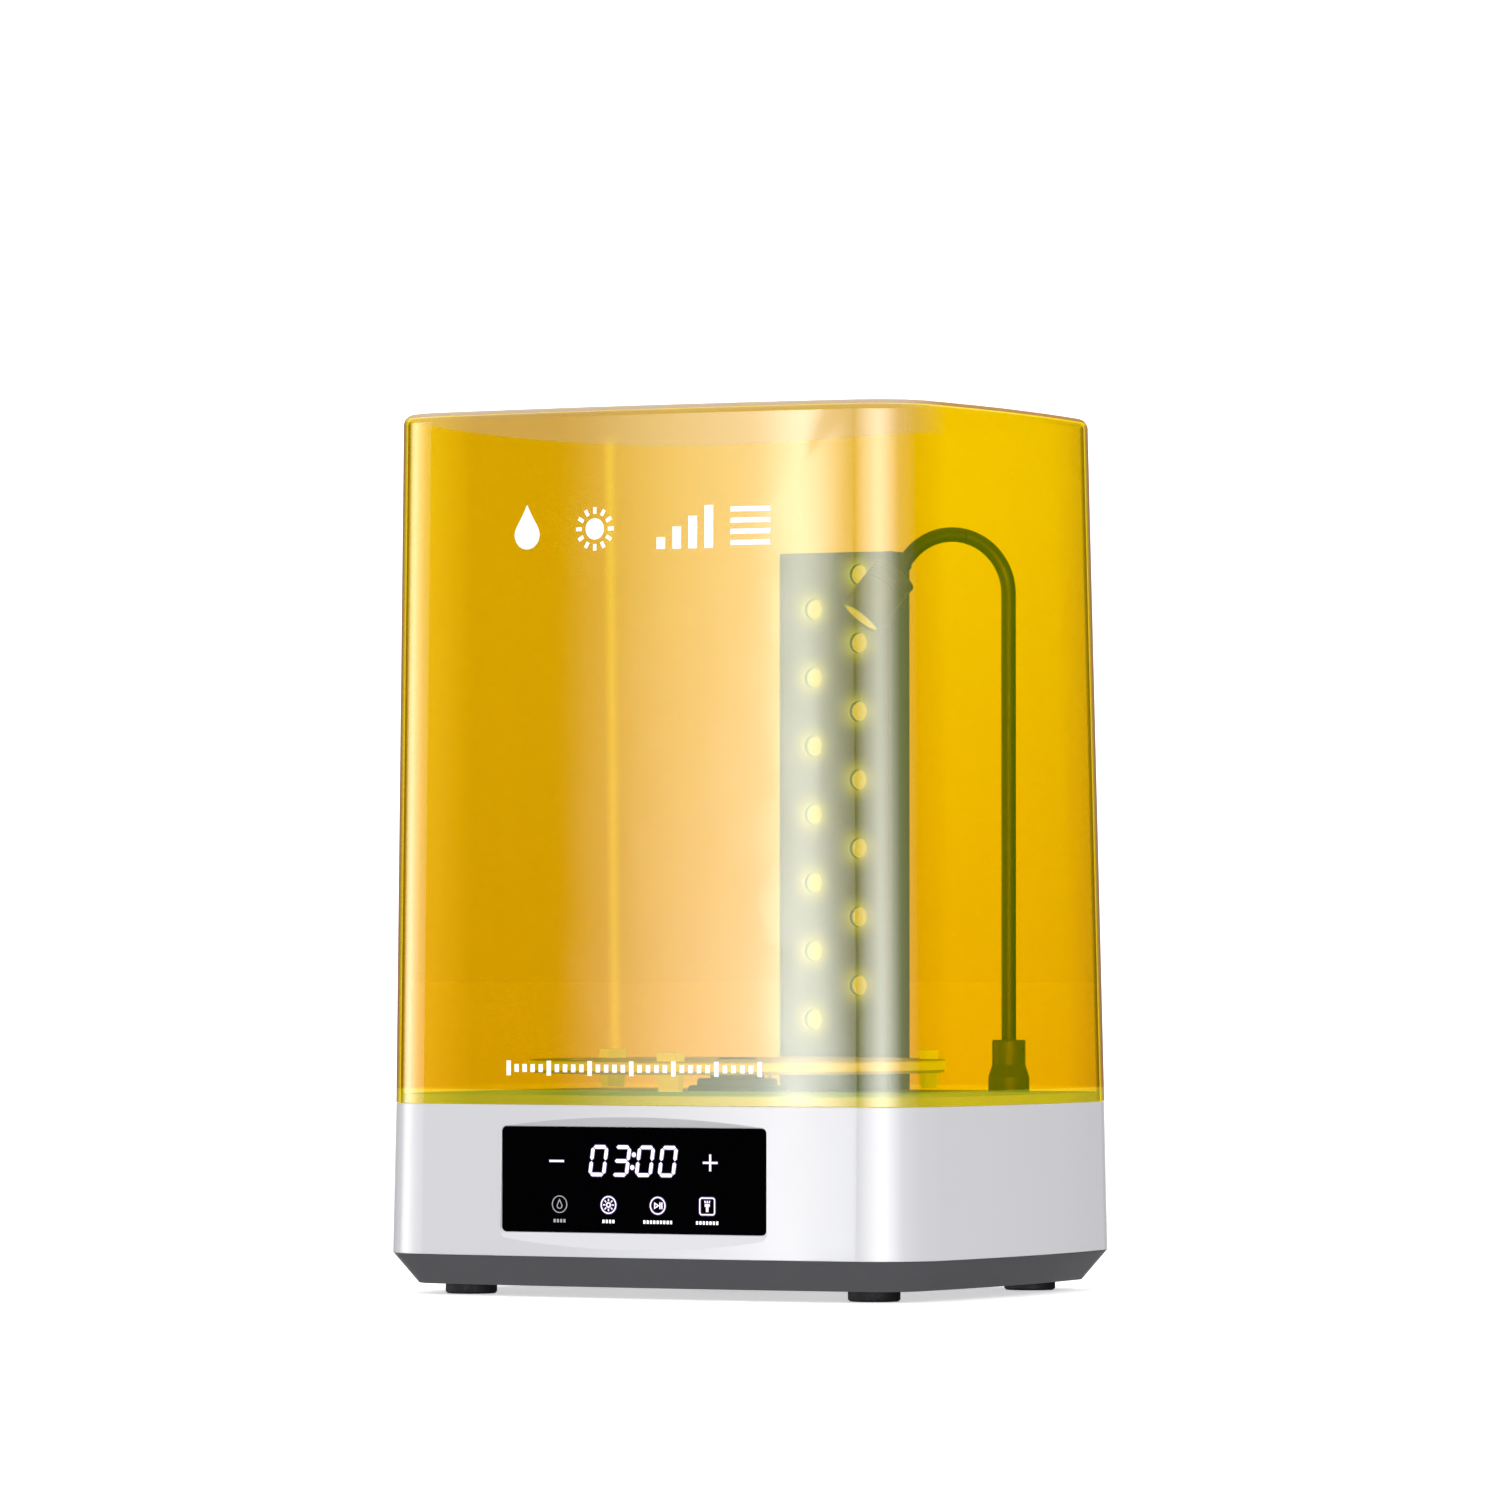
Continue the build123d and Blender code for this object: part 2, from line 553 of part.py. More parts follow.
# the rocker turns about an upright pin and rests on its "off" side
SWITCH_FACE = INLET_PLATE + 1.4
SWITCH_CAVITY = (17.4, 10.6)
ROCKER_PIVOT = (SWITCH_PLACE[0], INLET_PLATE - 2.0)
ROCKER_LEAN = 9.0
ROCKER_WIDTH = 10.0
ROCKER_PIN_RADIUS = 1.2
ROCKER_PIN_REACH = 6.1
RUNNING_GAP = 0.05       # radial clearance of everything that turns in a bore
with BuildPart() as switch_housing:
    with BuildSketch(Plane.XZ.offset(-SWITCH_FACE)):
        with Locations(SWITCH_PLACE):
            RectangleRounded(23.0, 16.6, 1.5)
    extrude(amount=SWITCH_FACE - INLET_PLATE)
    with BuildSketch(Plane.XZ.offset(-INLET_PLATE)):
        with Locations(SWITCH_PLACE):
            Rectangle(SWITCH_CUT[0] - 0.4, SWITCH_CUT[1] - 0.4)
    extrude(amount=14)
    with BuildSketch(Plane.XZ.offset(-SWITCH_FACE)):
        with Locations(SWITCH_PLACE):
            Rectangle(*SWITCH_CAVITY)
    extrude(amount=11, mode=Mode.SUBTRACT)
    with BuildSketch(Plane.XY.offset(SWITCH_PLACE[1] - ROCKER_PIN_REACH - 0.1)):
        with Locations(ROCKER_PIVOT):
            Circle(ROCKER_PIN_RADIUS + RUNNING_GAP)
    extrude(amount=2 * ROCKER_PIN_REACH + 0.2, mode=Mode.SUBTRACT)
finish(switch_housing, "switch_housing")

ROCKER_PROFILE = [(-7.9, 0.8), (-7.9, 3.3), (0, 1.9), (7.9, 3.3), (7.9, 0.8), (5, -3), (-5, -3)]
with BuildPart() as switch_rocker:
    with BuildSketch(Plane.XY.offset(SWITCH_PLACE[1] - ROCKER_WIDTH / 2)):
        with Locations(Location(ROCKER_PIVOT, ROCKER_LEAN)):
            Polygon(*ROCKER_PROFILE, align=None)
    extrude(amount=ROCKER_WIDTH)
    with BuildSketch(Plane.XY.offset(SWITCH_PLACE[1] - ROCKER_PIN_REACH)):
        with Locations(ROCKER_PIVOT):
            Circle(ROCKER_PIN_RADIUS)
    extrude(amount=2 * ROCKER_PIN_REACH)
finish(switch_rocker, "switch_rocker")

# ---------------------------------------------------------------- magnetic drive under the deck
MOTOR_RADIUS = 16.0
MOTOR_BOTTOM = 16.0
GEARBOX_RADIUS = 18.5
GEARBOX_BOTTOM = 46.0
GEARBOX_TOP = 66.0
BRACKET_THICKNESS = 3.0
BRACKET_TOP = GEARBOX_TOP + BRACKET_THICKNESS
MOTOR_SCREW_ORBIT = 13.0
SHAFT_RADIUS = 3.0
SHAFT_BOTTOM = 56.5
SHAFT_TOP = 95.0
CARRIER_BOTTOM = 88.0
CARRIER_TOP = 97.0
CARRIER_RADIUS = 27.0
COLLAR_HEIGHT = 8.0
DRIVE_MAGNET_RADIUS = 5.0
DRIVE_MAGNET_HEIGHT = 4.0
DRIVE_MAGNET_ORBIT = 16.0
MAGNET_COUNT = 6

with BuildPart() as motor_can:
    with BuildSketch(Plane.XY.offset(MOTOR_BOTTOM)):
        with Locations(TABLE_CENTRE):
            Circle(MOTOR_RADIUS)
    extrude(amount=GEARBOX_BOTTOM - MOTOR_BOTTOM)
    chamfer(motor_can.faces().sort_by(Axis.Z)[0].edges(), 1.5)
    with BuildSketch(Plane.XY.offset(MOTOR_BOTTOM)):
        with Locations(TABLE_CENTRE):
            Circle(5)
    extrude(amount=-2)
finish(motor_can, "motor_can")

with BuildPart() as gearbox_case:
    with BuildSketch(Plane.XY.offset(GEARBOX_BOTTOM)):
        with Locations(TABLE_CENTRE):
            Circle(GEARBOX_RADIUS)
    extrude(amount=GEARBOX_TOP - GEARBOX_BOTTOM)
    with BuildSketch(Plane.XY.offset(GEARBOX_TOP)):
        with Locations(TABLE_CENTRE):
            Circle(SHAFT_RADIUS + RUNNING_GAP)
    extrude(amount=SHAFT_BOTTOM - 0.5 - GEARBOX_TOP, mode=Mode.SUBTRACT)
    with BuildSketch(Plane.XY.offset(GEARBOX_TOP)):
        with Locations(TABLE_CENTRE):
            with PolarLocations(MOTOR_SCREW_ORBIT, 4, start_angle=45):
                Circle(SCREW_RADIUS)
    extrude(amount=-8, mode=Mode.SUBTRACT)
finish(gearbox_case, "gearbox_case")

with BuildPart() as motor_bracket:
    with BuildSketch(Plane.XY.offset(GEARBOX_TOP)):
        with Locations(TABLE_CENTRE):
            RectangleRounded(80, 60, 6)
            Circle(6, mode=Mode.SUBTRACT)
            with PolarLocations(MOTOR_SCREW_ORBIT, 4, start_angle=45):
                Circle(SCREW_RADIUS + 0.2, mode=Mode.SUBTRACT)
    extrude(amount=BRACKET_THICKNESS)
    with BuildSketch(Plane.XY.offset(PAN_FLOOR_TOP)):
        with Locations(*LEG_PLACES):
            Circle(4)
    extrude(amount=GEARBOX_TOP - PAN_FLOOR_TOP)
    with BuildSketch(Plane.XY.offset(PAN_FLOOR_TOP)):
        with Locations(*LEG_PLACES):
            Circle(SCREW_RADIUS)
    extrude(amount=10, mode=Mode.SUBTRACT)
finish(motor_bracket, "motor_bracket")

with BuildPart() as motor_shaft:
    with BuildSketch(Plane.XY.offset(SHAFT_BOTTOM)):
        with Locations(TABLE_CENTRE):
            Circle(SHAFT_RADIUS)
    extrude(amount=SHAFT_TOP - SHAFT_BOTTOM)
finish(motor_shaft, "motor_shaft")

with BuildPart() as magnet_carrier:
    with BuildSketch(Plane.XY.offset(CARRIER_BOTTOM)):
        with Locations(TABLE_CENTRE):
            Circle(CARRIER_RADIUS)
    extrude(amount=CARRIER_TOP - CARRIER_BOTTOM)
    with BuildSketch(Plane.XY.offset(CARRIER_BOTTOM)):
        with Locations(TABLE_CENTRE):
            Circle(7)
    extrude(amount=-COLLAR_HEIGHT)
    with BuildSketch(Plane.XY.offset(CARRIER_BOTTOM - COLLAR_HEIGHT)):
        with Locations(TABLE_CENTRE):
            Circle(SHAFT_RADIUS)
    extrude(amount=SHAFT_TOP - CARRIER_BOTTOM + COLLAR_HEIGHT, mode=Mode.SUBTRACT)
    with BuildSketch(Plane.XY.offset(CARRIER_TOP)):
        with Locations(TABLE_CENTRE):
            with PolarLocations(DRIVE_MAGNET_ORBIT, MAGNET_COUNT):
                Circle(DRIVE_MAGNET_RADIUS)
    extrude(amount=-DRIVE_MAGNET_HEIGHT, mode=Mode.SUBTRACT)
finish(magnet_carrier, "magnet_carrier")

with BuildPart() as drive_magnets:
    with BuildSketch(Plane.XY.offset(CARRIER_TOP)):
        with Locations(TABLE_CENTRE):
            with PolarLocations(DRIVE_MAGNET_ORBIT, MAGNET_COUNT):
                Circle(DRIVE_MAGNET_RADIUS)
    extrude(amount=-DRIVE_MAGNET_HEIGHT)
finish(drive_magnets, "drive_magnets")

# ---------------------------------------------------------------- turntable above the deck
RING_RADIUS = 25.3       # outside of the stationary base that the hub turns in
RING_TOP = 106.2
RING_FLOOR = 103.8
SPINDLE_RADIUS = 4.0
SPINDLE_TOP = 116.0
BUSH_RADIUS = 6.0
HUB_RADIUS = 20.7
HUB_BOTTOM = RING_FLOOR + 0.5
HUB_TIER_TOP = 109.8
HUB_NECK_RADIUS = 13.2
HUB_RIB_COUNT = 20
HUB_BOSS_RADIUS = 10.0
DRIVEN_MAGNET_RADIUS = 4.0
DRIVEN_MAGNET_HEIGHT = 3.0
DRIVEN_MAGNET_ORBIT = 14.0
TABLE_BOTTOM = TABLE_TOP - TABLE_THICKNESS

with BuildPart() as turntable_base:
    with BuildSketch(Plane.XY.offset(DECK_TOP)):
        with Locations(TABLE_CENTRE):
            Circle(RING_RADIUS)
    extrude(amount=RING_TOP - DECK_TOP)
    chamfer(turntable_base.faces().sort_by(Axis.Z)[-1].edges(), 1.2)
    with BuildSketch(Plane.XY.offset(RING_FLOOR)):
        with Locations(TABLE_CENTRE):
            Circle(HUB_RADIUS + 0.8)
            Circle(SPINDLE_RADIUS, mode=Mode.SUBTRACT)
    extrude(amount=RING_TOP - RING_FLOOR, mode=Mode.SUBTRACT)
    with BuildSketch(Plane.XY.offset(RING_FLOOR)):
        with Locations(TABLE_CENTRE):
            Circle(SPINDLE_RADIUS)
    extrude(amount=SPINDLE_TOP - RING_FLOOR)
finish(turntable_base, "turntable_base")

with BuildPart() as hub_bushing:
    with BuildSketch(Plane.XY.offset(HUB_BOTTOM)):
        with Locations(TABLE_CENTRE):
            Circle(BUSH_RADIUS)
            Circle(SPINDLE_RADIUS + RUNNING_GAP, mode=Mode.SUBTRACT)
    extrude(amount=SPINDLE_TOP - HUB_BOTTOM)
finish(hub_bushing, "hub_bushing")

with BuildPart() as turntable_hub:
    with BuildSketch(Plane.XY.offset(HUB_BOTTOM)):
        with Locations(TABLE_CENTRE):
            Circle(HUB_RADIUS)
    extrude(amount=HUB_TIER_TOP - HUB_BOTTOM)
    chamfer(turntable_hub.faces().sort_by(Axis.Z)[-1].edges(), 1.0)
    with BuildSketch(Plane.XY.offset(HUB_TIER_TOP)):
        with Locations(TABLE_CENTRE):
            Circle(HUB_NECK_RADIUS)
            with PolarLocations(HUB_NECK_RADIUS, HUB_RIB_COUNT):
                Rectangle(1.6, 1.6)
    extrude(amount=TABLE_BOTTOM - HUB_TIER_TOP)
    with BuildSketch(Plane.XY.offset(TABLE_BOTTOM)):
        with Locations(TABLE_CENTRE):
            Circle(HUB_BOSS_RADIUS)
    extrude(amount=TABLE_THICKNESS + 1.0)
    fillet(turntable_hub.faces().sort_by(Axis.Z)[-1].edges(), 0.8)
    with BuildSketch(Plane.XY.offset(HUB_BOTTOM)):
        with Locations(TABLE_CENTRE):
            Circle(BUSH_RADIUS)
    extrude(amount=SPINDLE_TOP - HUB_BOTTOM + 0.6, mode=Mode.SUBTRACT)
    with BuildSketch(Plane.XY.offset(HUB_BOTTOM)):
        with Locations(TABLE_CENTRE):
            with PolarLocations(DRIVEN_MAGNET_ORBIT, MAGNET_COUNT):
                Circle(DRIVEN_MAGNET_RADIUS)
    extrude(amount=DRIVEN_MAGNET_HEIGHT, mode=Mode.SUBTRACT)
finish(turntable_hub, "turntable_hub")

with BuildPart() as driven_magnets:
    with BuildSketch(Plane.XY.offset(HUB_BOTTOM)):
        with Locations(TABLE_CENTRE):
            with PolarLocations(DRIVEN_MAGNET_ORBIT, MAGNET_COUNT):
                Circle(DRIVEN_MAGNET_RADIUS)
    extrude(amount=DRIVEN_MAGNET_HEIGHT)
finish(driven_magnets, "driven_magnets")

POST_ORBIT = 100.4
POST_COUNT = 3
POST_START = 38.5        # degrees, the first post's place round the table
POST_WIDTH = 12.6
POST_DEPTH = 8.0
POST_NECK = (4.0, 8.0)
POST_TOP = 124.0
POST_BOTTOM = 104.4
GROOVE_RADII = [30.0 + 9.0 * step for step in range(7)]

with BuildPart() as turntable_plate:
    with BuildSketch(Plane.XY.offset(TABLE_BOTTOM)):
        with Locations(TABLE_CENTRE):
            Circle(TABLE_RADIUS)
    extrude(amount=TABLE_THICKNESS)
    chamfer(turntable_plate.faces().sort_by(Axis.Z)[0].edges(), 1.6)
    fillet(turntable_plate.faces().sort_by(Axis.Z)[-1].edges(), 1.0)
    with BuildSketch(Plane.XY.offset(TABLE_TOP)):
        with Locations(TABLE_CENTRE):
            for groove_radius in GROOVE_RADII:
                Circle(groove_radius + 0.8)
                Circle(groove_radius - 0.8, mode=Mode.SUBTRACT)
    extrude(amount=-0.6, mode=Mode.SUBTRACT)
    with BuildSketch(Plane.XY.offset(TABLE_BOTTOM)):
        with Locations(TABLE_CENTRE):
            Circle(HUB_BOSS_RADIUS)
            with PolarLocations(POST_ORBIT, POST_COUNT, start_angle=POST_START):
                Rectangle(*POST_NECK)
    extrude(amount=TABLE_THICKNESS, mode=Mode.SUBTRACT)
finish(turntable_plate, "turntable_plate")

# each post stands on both sides of the table, joined by a neck through a slot
with BuildPart() as table_posts:
    with BuildSketch(Plane.XY.offset(TABLE_TOP)):
        with Locations(TABLE_CENTRE):
            with PolarLocations(POST_ORBIT, POST_COUNT, start_angle=POST_START):
                RectangleRounded(POST_DEPTH, POST_WIDTH, 1.2)
    extrude(amount=POST_TOP - TABLE_TOP)
    with BuildSketch(Plane.XY.offset(TABLE_BOTTOM)):
        with Locations(TABLE_CENTRE):
            with PolarLocations(POST_ORBIT, POST_COUNT, start_angle=POST_START):
                RectangleRounded(POST_DEPTH, POST_WIDTH, 1.2)
    extrude(amount=POST_BOTTOM - TABLE_BOTTOM, taper=6)
    with BuildSketch(Plane.XY.offset(TABLE_BOTTOM)):
        with Locations(TABLE_CENTRE):
            with PolarLocations(POST_ORBIT, POST_COUNT, start_angle=POST_START):
                Rectangle(*POST_NECK)
    extrude(amount=TABLE_THICKNESS)
finish(table_posts, "table_posts")

# ---------------------------------------------------------------- lamp bar
BAR_CAP = 3.4
BAR_BODY_TOP = BAR_TOP - BAR_CAP
FRONT_PLATE = 2.0
LED_HOLE_RADIUS = 5.6
LED_BOARD_FRONT = BAR_FRONT + 6.0
LED_BASE_RADIUS = 5.2
LED_BASE_HEIGHT = 1.8
LED_DOME_RADIUS = 4.4
LED_DOME_HEIGHT = 3.0
TENON_TOP = 112.0
FLANGE_TOP = DECK_TOP - DECK_THICKNESS
BAR_SCREW_PLACES = [(-20.0, 107.0), (20.0, 107.0)]
LED_PLACES = [(LED_SIDE * (1 if step % 2 else -1), LED_LOWEST + LED_PITCH * step) for step in range(LED_COUNT)]

with BuildPart() as light_bar_housing:
    with BuildSketch(Plane.XY.offset(DECK_TOP)):
        with Locations(BAR_MIDDLE):
            RectangleRounded(BAR_WIDTH, BAR_DEPTH, 1.5)
        with Locations((0, BAR_MIDDLE[1] - BAR_WALL)):
            Rectangle(BAR_WIDTH - 2 * BAR_WALL, BAR_DEPTH, mode=Mode.SUBTRACT)
    extrude(amount=BAR_BODY_TOP - DECK_TOP)
    # ledges behind the LED board
    ledge_x = BAR_WIDTH / 2 - BAR_WALL - 1.5
    with BuildSketch(Plane.XY.offset(TENON_TOP)):
        with Locations((-ledge_x, LED_BOARD_FRONT + BOARD_THICKNESS + 1.5)):
            Rectangle(3.0, 3.0)
        with Locations((ledge_x, LED_BOARD_FRONT + BOARD_THICKNESS + 1.5)):
            Rectangle(3.0, 3.0)
    extrude(amount=BAR_BODY_TOP - TENON_TOP)
    with BuildSketch(Plane.XZ.offset(-BAR_FRONT - BAR_DEPTH)):
        with Locations(*BAR_SCREW_PLACES):
            Circle(SCREW_RADIUS + 0.2)
    extrude(amount=BAR_WALL, mode=Mode.SUBTRACT)
finish(light_bar_housing, "light_bar_housing")

with BuildPart() as light_bar_front:
    with BuildSketch(Plane.XZ.offset(-BAR_FRONT)):
        with Locations((0, (DECK_TOP + BAR_BODY_TOP) / 2)):
            Rectangle(BAR_WIDTH - 2 * BAR_WALL, BAR_BODY_TOP - DECK_TOP)
        with Locations(*LED_PLACES):
            Circle(LED_HOLE_RADIUS, mode=Mode.SUBTRACT)
    extrude(amount=-FRONT_PLATE)
    chamfer(light_bar_front.edges().filter_by(Axis.Z).group_by(Axis.Y)[0], 0.6)
finish(light_bar_front, "light_bar_front")

with BuildPart() as led_board:
    with BuildSketch(Plane.XZ.offset(-LED_BOARD_FRONT)):
        with Locations((0, (TENON_TOP + BAR_BODY_TOP) / 2 + 4)):
            Rectangle(BAR_WIDTH - 2 * BAR_WALL - 0.6, BAR_BODY_TOP - TENON_TOP - 10)
    extrude(amount=-BOARD_THICKNESS)
finish(led_board, "led_board")

with BuildPart() as led_modules:
    with BuildSketch(Plane.XZ.offset(-LED_BOARD_FRONT)):
        with Locations(*LED_PLACES):
            Circle(LED_BASE_RADIUS)
    extrude(amount=LED_BASE_HEIGHT)
    with BuildSketch(Plane.XZ.offset(LED_BASE_HEIGHT - LED_BOARD_FRONT)):
        with Locations(*LED_PLACES):
            Circle(LED_DOME_RADIUS)
    extrude(amount=LED_DOME_HEIGHT)
    fillet(led_modules.faces().sort_by(Axis.Y)[:LED_COUNT].edges(), LED_DOME_HEIGHT - 0.4)
finish(led_modules, "led_modules")

with BuildPart() as light_bar_cap:
    with BuildSketch(Plane.XY.offset(BAR_BODY_TOP)):
        with Locations(BAR_MIDDLE):
            RectangleRounded(BAR_WIDTH, BAR_DEPTH, 1.5)
    extrude(amount=BAR_CAP)
    fillet(light_bar_cap.faces().sort_by(Axis.Z)[-1].edges(), 1.0)
finish(light_bar_cap, "light_bar_cap")

with BuildPart() as light_bar_foot:
    with BuildSketch(Plane.XY.offset(FLANGE_TOP)):
        with Locations(TENON_MIDDLE):
            Rectangle(*TENON)
    extrude(amount=TENON_TOP - FLANGE_TOP)
    with BuildSketch(Plane.XY.offset(FLANGE_TOP)):
        with Locations(TENON_MIDDLE):
            RectangleRounded(TENON[0] + 12, TENON[1] + 6, 3)
    extrude(amount=-3)
    with BuildSketch(Plane.XY.offset(FLANGE_TOP - 3)):
        with Locations(TENON_MIDDLE):
            Rectangle(8, 6)
    extrude(amount=TENON_TOP - FLANGE_TOP + 3, mode=Mode.SUBTRACT)
    with BuildSketch(Plane.XZ.offset(-TENON_MIDDLE[1] - TENON[1] / 2)):
        with Locations(*BAR_SCREW_PLACES):
            Circle(SCREW_RADIUS)
    extrude(amount=9, mode=Mode.SUBTRACT)
finish(light_bar_foot, "light_bar_foot")

# ---------------------------------------------------------------- gooseneck lamp
HEADING = (math.cos(math.radians(NECK_HEADING)), math.sin(math.radians(NECK_HEADING)))
SIDEWAYS = (-HEADING[1], HEADING[0], 0.0)
BOOT_RADIUS = 10.65
BOOT_TOP_RADIUS = 8.6
BOOT_STEP = DECK_TOP + 7.5
BOOT_CONE_TOP = DECK_TOP + 14.0
BOOT_TOP = 129.1
BOOT_FLOOR = 106.0
NUT_HEIGHT = 5.0


def neck_point(along, height):
    """A point in the upright plane that the gooseneck leans in."""
    return (NECK_PLACE[0] + along * HEADING[0], NECK_PLACE[1] + along * HEADING[1], height)


def arch_point(angle):
    """A point on the arch's centre line, by its angle round the arch's centre."""
    along = NECK_ARCH_RADIUS * (1 + math.cos(angle))
    return neck_point(along, NECK_ARCH_HEIGHT + NECK_ARCH_RADIUS * math.sin(angle))


ARCH_END = math.radians(180 - NECK_ARCH_TURN)
BEND_POINT = arch_point(math.pi)
TILT_POINT = arch_point(ARCH_END)
LAMP_AXIS = (math.sin(ARCH_END) * HEADING[0], math.sin(ARCH_END) * HEADING[1], -math.cos(ARCH_END))
SOCKET_RADIUS = NECK_RADIUS + 0.3
HEAD_START = 12.2        # the lamp body, from the tilt point
SLEEVE_START = 4.4
SLEEVE_END = 13.7
SLEEVE_RADIUS = 4.75
HEAD_RIB_COUNT = 5
RIB_PITCH = 2.0
POCKET_DEPTH = 24.0
POCKET_RADIUS = 10.2
POCKET_START = HEAD_START + LAMP_LENGTH - POCKET_DEPTH
LENS_START = HEAD_START + LAMP_LENGTH - 2.8


def lamp_plane(distance):
    """A plane across the lamp's axis, this far past the tilt point."""
    origin = tuple(TILT_POINT[axis] + distance * LAMP_AXIS[axis] for axis in range(3))
    return Plane(origin=origin, x_dir=SIDEWAYS, z_dir=LAMP_AXIS)


with BuildPart() as neck_boot:
    with BuildSketch(Plane.XY.offset(DECK_TOP)):
        with Locations(NECK_PLACE):
            Circle(BOOT_RADIUS)
    extrude(amount=BOOT_STEP - DECK_TOP)
    with BuildSketch(Plane.XY.offset(BOOT_STEP)):
        with Locations(NECK_PLACE):
            Circle(BOOT_RADIUS)
    with BuildSketch(Plane.XY.offset(BOOT_CONE_TOP)):
        with Locations(NECK_PLACE):
            Circle(BOOT_TOP_RADIUS)
    loft()
    with BuildSketch(Plane.XY.offset(BOOT_CONE_TOP)):
        with Locations(NECK_PLACE):
            Circle(BOOT_TOP_RADIUS)
    extrude(amount=BOOT_TOP - BOOT_CONE_TOP)
    fillet(neck_boot.faces().sort_by(Axis.Z)[-1].edges(), 0.8)
    with BuildSketch(Plane.XY.offset(DECK_TOP)):
        with Locations(NECK_PLACE):
            Circle(BOOT_SPIGOT_RADIUS)
    extrude(amount=-12)
    with BuildSketch(Plane.XY.offset(BOOT_TOP)):
        with Locations(NECK_PLACE):
            Circle(NECK_RADIUS + RUNNING_GAP)
    extrude(amount=BOOT_FLOOR - BOOT_TOP, mode=Mode.SUBTRACT)
finish(neck_boot, "neck_boot")

with BuildPart() as neck_nut:
    with BuildSketch(Plane.XY.offset(FLANGE_TOP)):
        with Locations(NECK_PLACE):
            RegularPolygon(10.4, 6)
            Circle(BOOT_SPIGOT_RADIUS, mode=Mode.SUBTRACT)
    extrude(amount=-NUT_HEIGHT)
finish(neck_nut, "neck_nut")

with BuildPart() as neck_stem:
    with BuildSketch(Plane.XY.offset(BOOT_FLOOR + 0.2)):
        with Locations(NECK_PLACE):
            Circle(NECK_RADIUS)
    extrude(amount=NECK_ARCH_HEIGHT - BOOT_FLOOR - 0.2)
    with Locations(BEND_POINT):
        Sphere(NECK_RADIUS)
finish(neck_stem, "neck_stem")

with BuildPart() as neck_arch:
    with BuildLine() as arch_line:
        ThreePointArc(BEND_POINT, arch_point((math.pi + ARCH_END) / 2), TILT_POINT)
    with BuildSketch(Plane(origin=BEND_POINT, z_dir=(0, 0, 1))):
        Circle(NECK_RADIUS)
    sweep(path=arch_line.line)
    with Locations(TILT_POINT):
        Sphere(NECK_RADIUS)
    with Locations(BEND_POINT):
        Sphere(SOCKET_RADIUS, mode=Mode.SUBTRACT)
finish(neck_arch, "neck_arch")

with BuildPart() as lamp_sleeve:
    with BuildSketch(lamp_plane(0)):
        Circle(NECK_RADIUS)
    extrude(amount=SLEEVE_START)
    with BuildSketch(lamp_plane(SLEEVE_START)):
        Circle(SLEEVE_RADIUS)
    extrude(amount=SLEEVE_END - SLEEVE_START)
    with Locations(TILT_POINT):
        Sphere(SOCKET_RADIUS, mode=Mode.SUBTRACT)
finish(lamp_sleeve, "lamp_sleeve")

with BuildPart() as lamp_head:
    with BuildSketch(lamp_plane(HEAD_START)):
        Circle(LAMP_RADIUS - 0.7)
    extrude(amount=LAMP_LENGTH)
    for rib in range(HEAD_RIB_COUNT):
        with BuildSketch(lamp_plane(HEAD_START + 0.6 + rib * RIB_PITCH)):
            Circle(LAMP_RADIUS)
        extrude(amount=RIB_PITCH / 2)
    body_start = HEAD_RIB_COUNT * RIB_PITCH + 1.0
    with BuildSketch(lamp_plane(HEAD_START + body_start)):
        Circle(LAMP_RADIUS)
    extrude(amount=LAMP_LENGTH - body_start)
    with BuildSketch(lamp_plane(POCKET_START)):
        Circle(POCKET_RADIUS)
    extrude(amount=POCKET_DEPTH, mode=Mode.SUBTRACT)
    with BuildSketch(lamp_plane(HEAD_START)):
        Circle(SLEEVE_RADIUS)
    extrude(amount=SLEEVE_END - HEAD_START, mode=Mode.SUBTRACT)
finish(lamp_head, "lamp_head")

with BuildPart() as lamp_lens:
    with BuildSketch(lamp_plane(LENS_START)):
        Circle(POCKET_RADIUS)
    extrude(amount=2.0)
finish(lamp_lens, "lamp_lens")

with BuildPart() as lamp_led:
    with BuildSketch(lamp_plane(POCKET_START)):
        Circle(POCKET_RADIUS)
    extrude(amount=BOARD_THICKNESS)
    with BuildSketch(lamp_plane(POCKET_START + BOARD_THICKNESS)):
        Circle(3.0)
    extrude(amount=2.0)
finish(lamp_led, "lamp_led")

# ---------------------------------------------------------------- cover
COVER_BOTTOM = SEAM + COVER_GAP


def cover_plan(height, inset):
    """Fill the cover's plan at a height, inset from its outside, in the sketch that is open."""
    lean = (height - SEAM) / (HEIGHT - SEAM)
    plan_outline(
        SHELL_DRAFT + inset,
        side_lean=COVER_SIDE_LEAN * lean,
        front_lean=COVER_FRONT_LEAN * lean,
        back_lean=COVER_BACK_LEAN * lean,
    )


with BuildPart() as cover_hollow:
    with BuildSketch(Plane.XY.offset(COVER_BOTTOM)):
        cover_plan(COVER_BOTTOM, COVER_WALL)
    with BuildSketch(Plane.XY.offset(HEIGHT - COVER_WALL)):
        cover_plan(HEIGHT - COVER_WALL, COVER_WALL)
    loft(ruled=True)
    fillet(cover_hollow.faces().sort_by(Axis.Z)[-1].edges(), COVER_EDGE_RADIUS - COVER_WALL)

with BuildPart() as cover_shell:
    with BuildSketch(Plane.XY.offset(COVER_BOTTOM)):
        cover_plan(COVER_BOTTOM, 0)
    with BuildSketch(Plane.XY.offset(HEIGHT)):
        cover_plan(HEIGHT, 0)
    loft(ruled=True)
    fillet(cover_shell.faces().sort_by(Axis.Z)[-1].edges(), COVER_EDGE_RADIUS)
    add(cover_hollow.part, mode=Mode.SUBTRACT)
finish(cover_shell, "cover_shell")

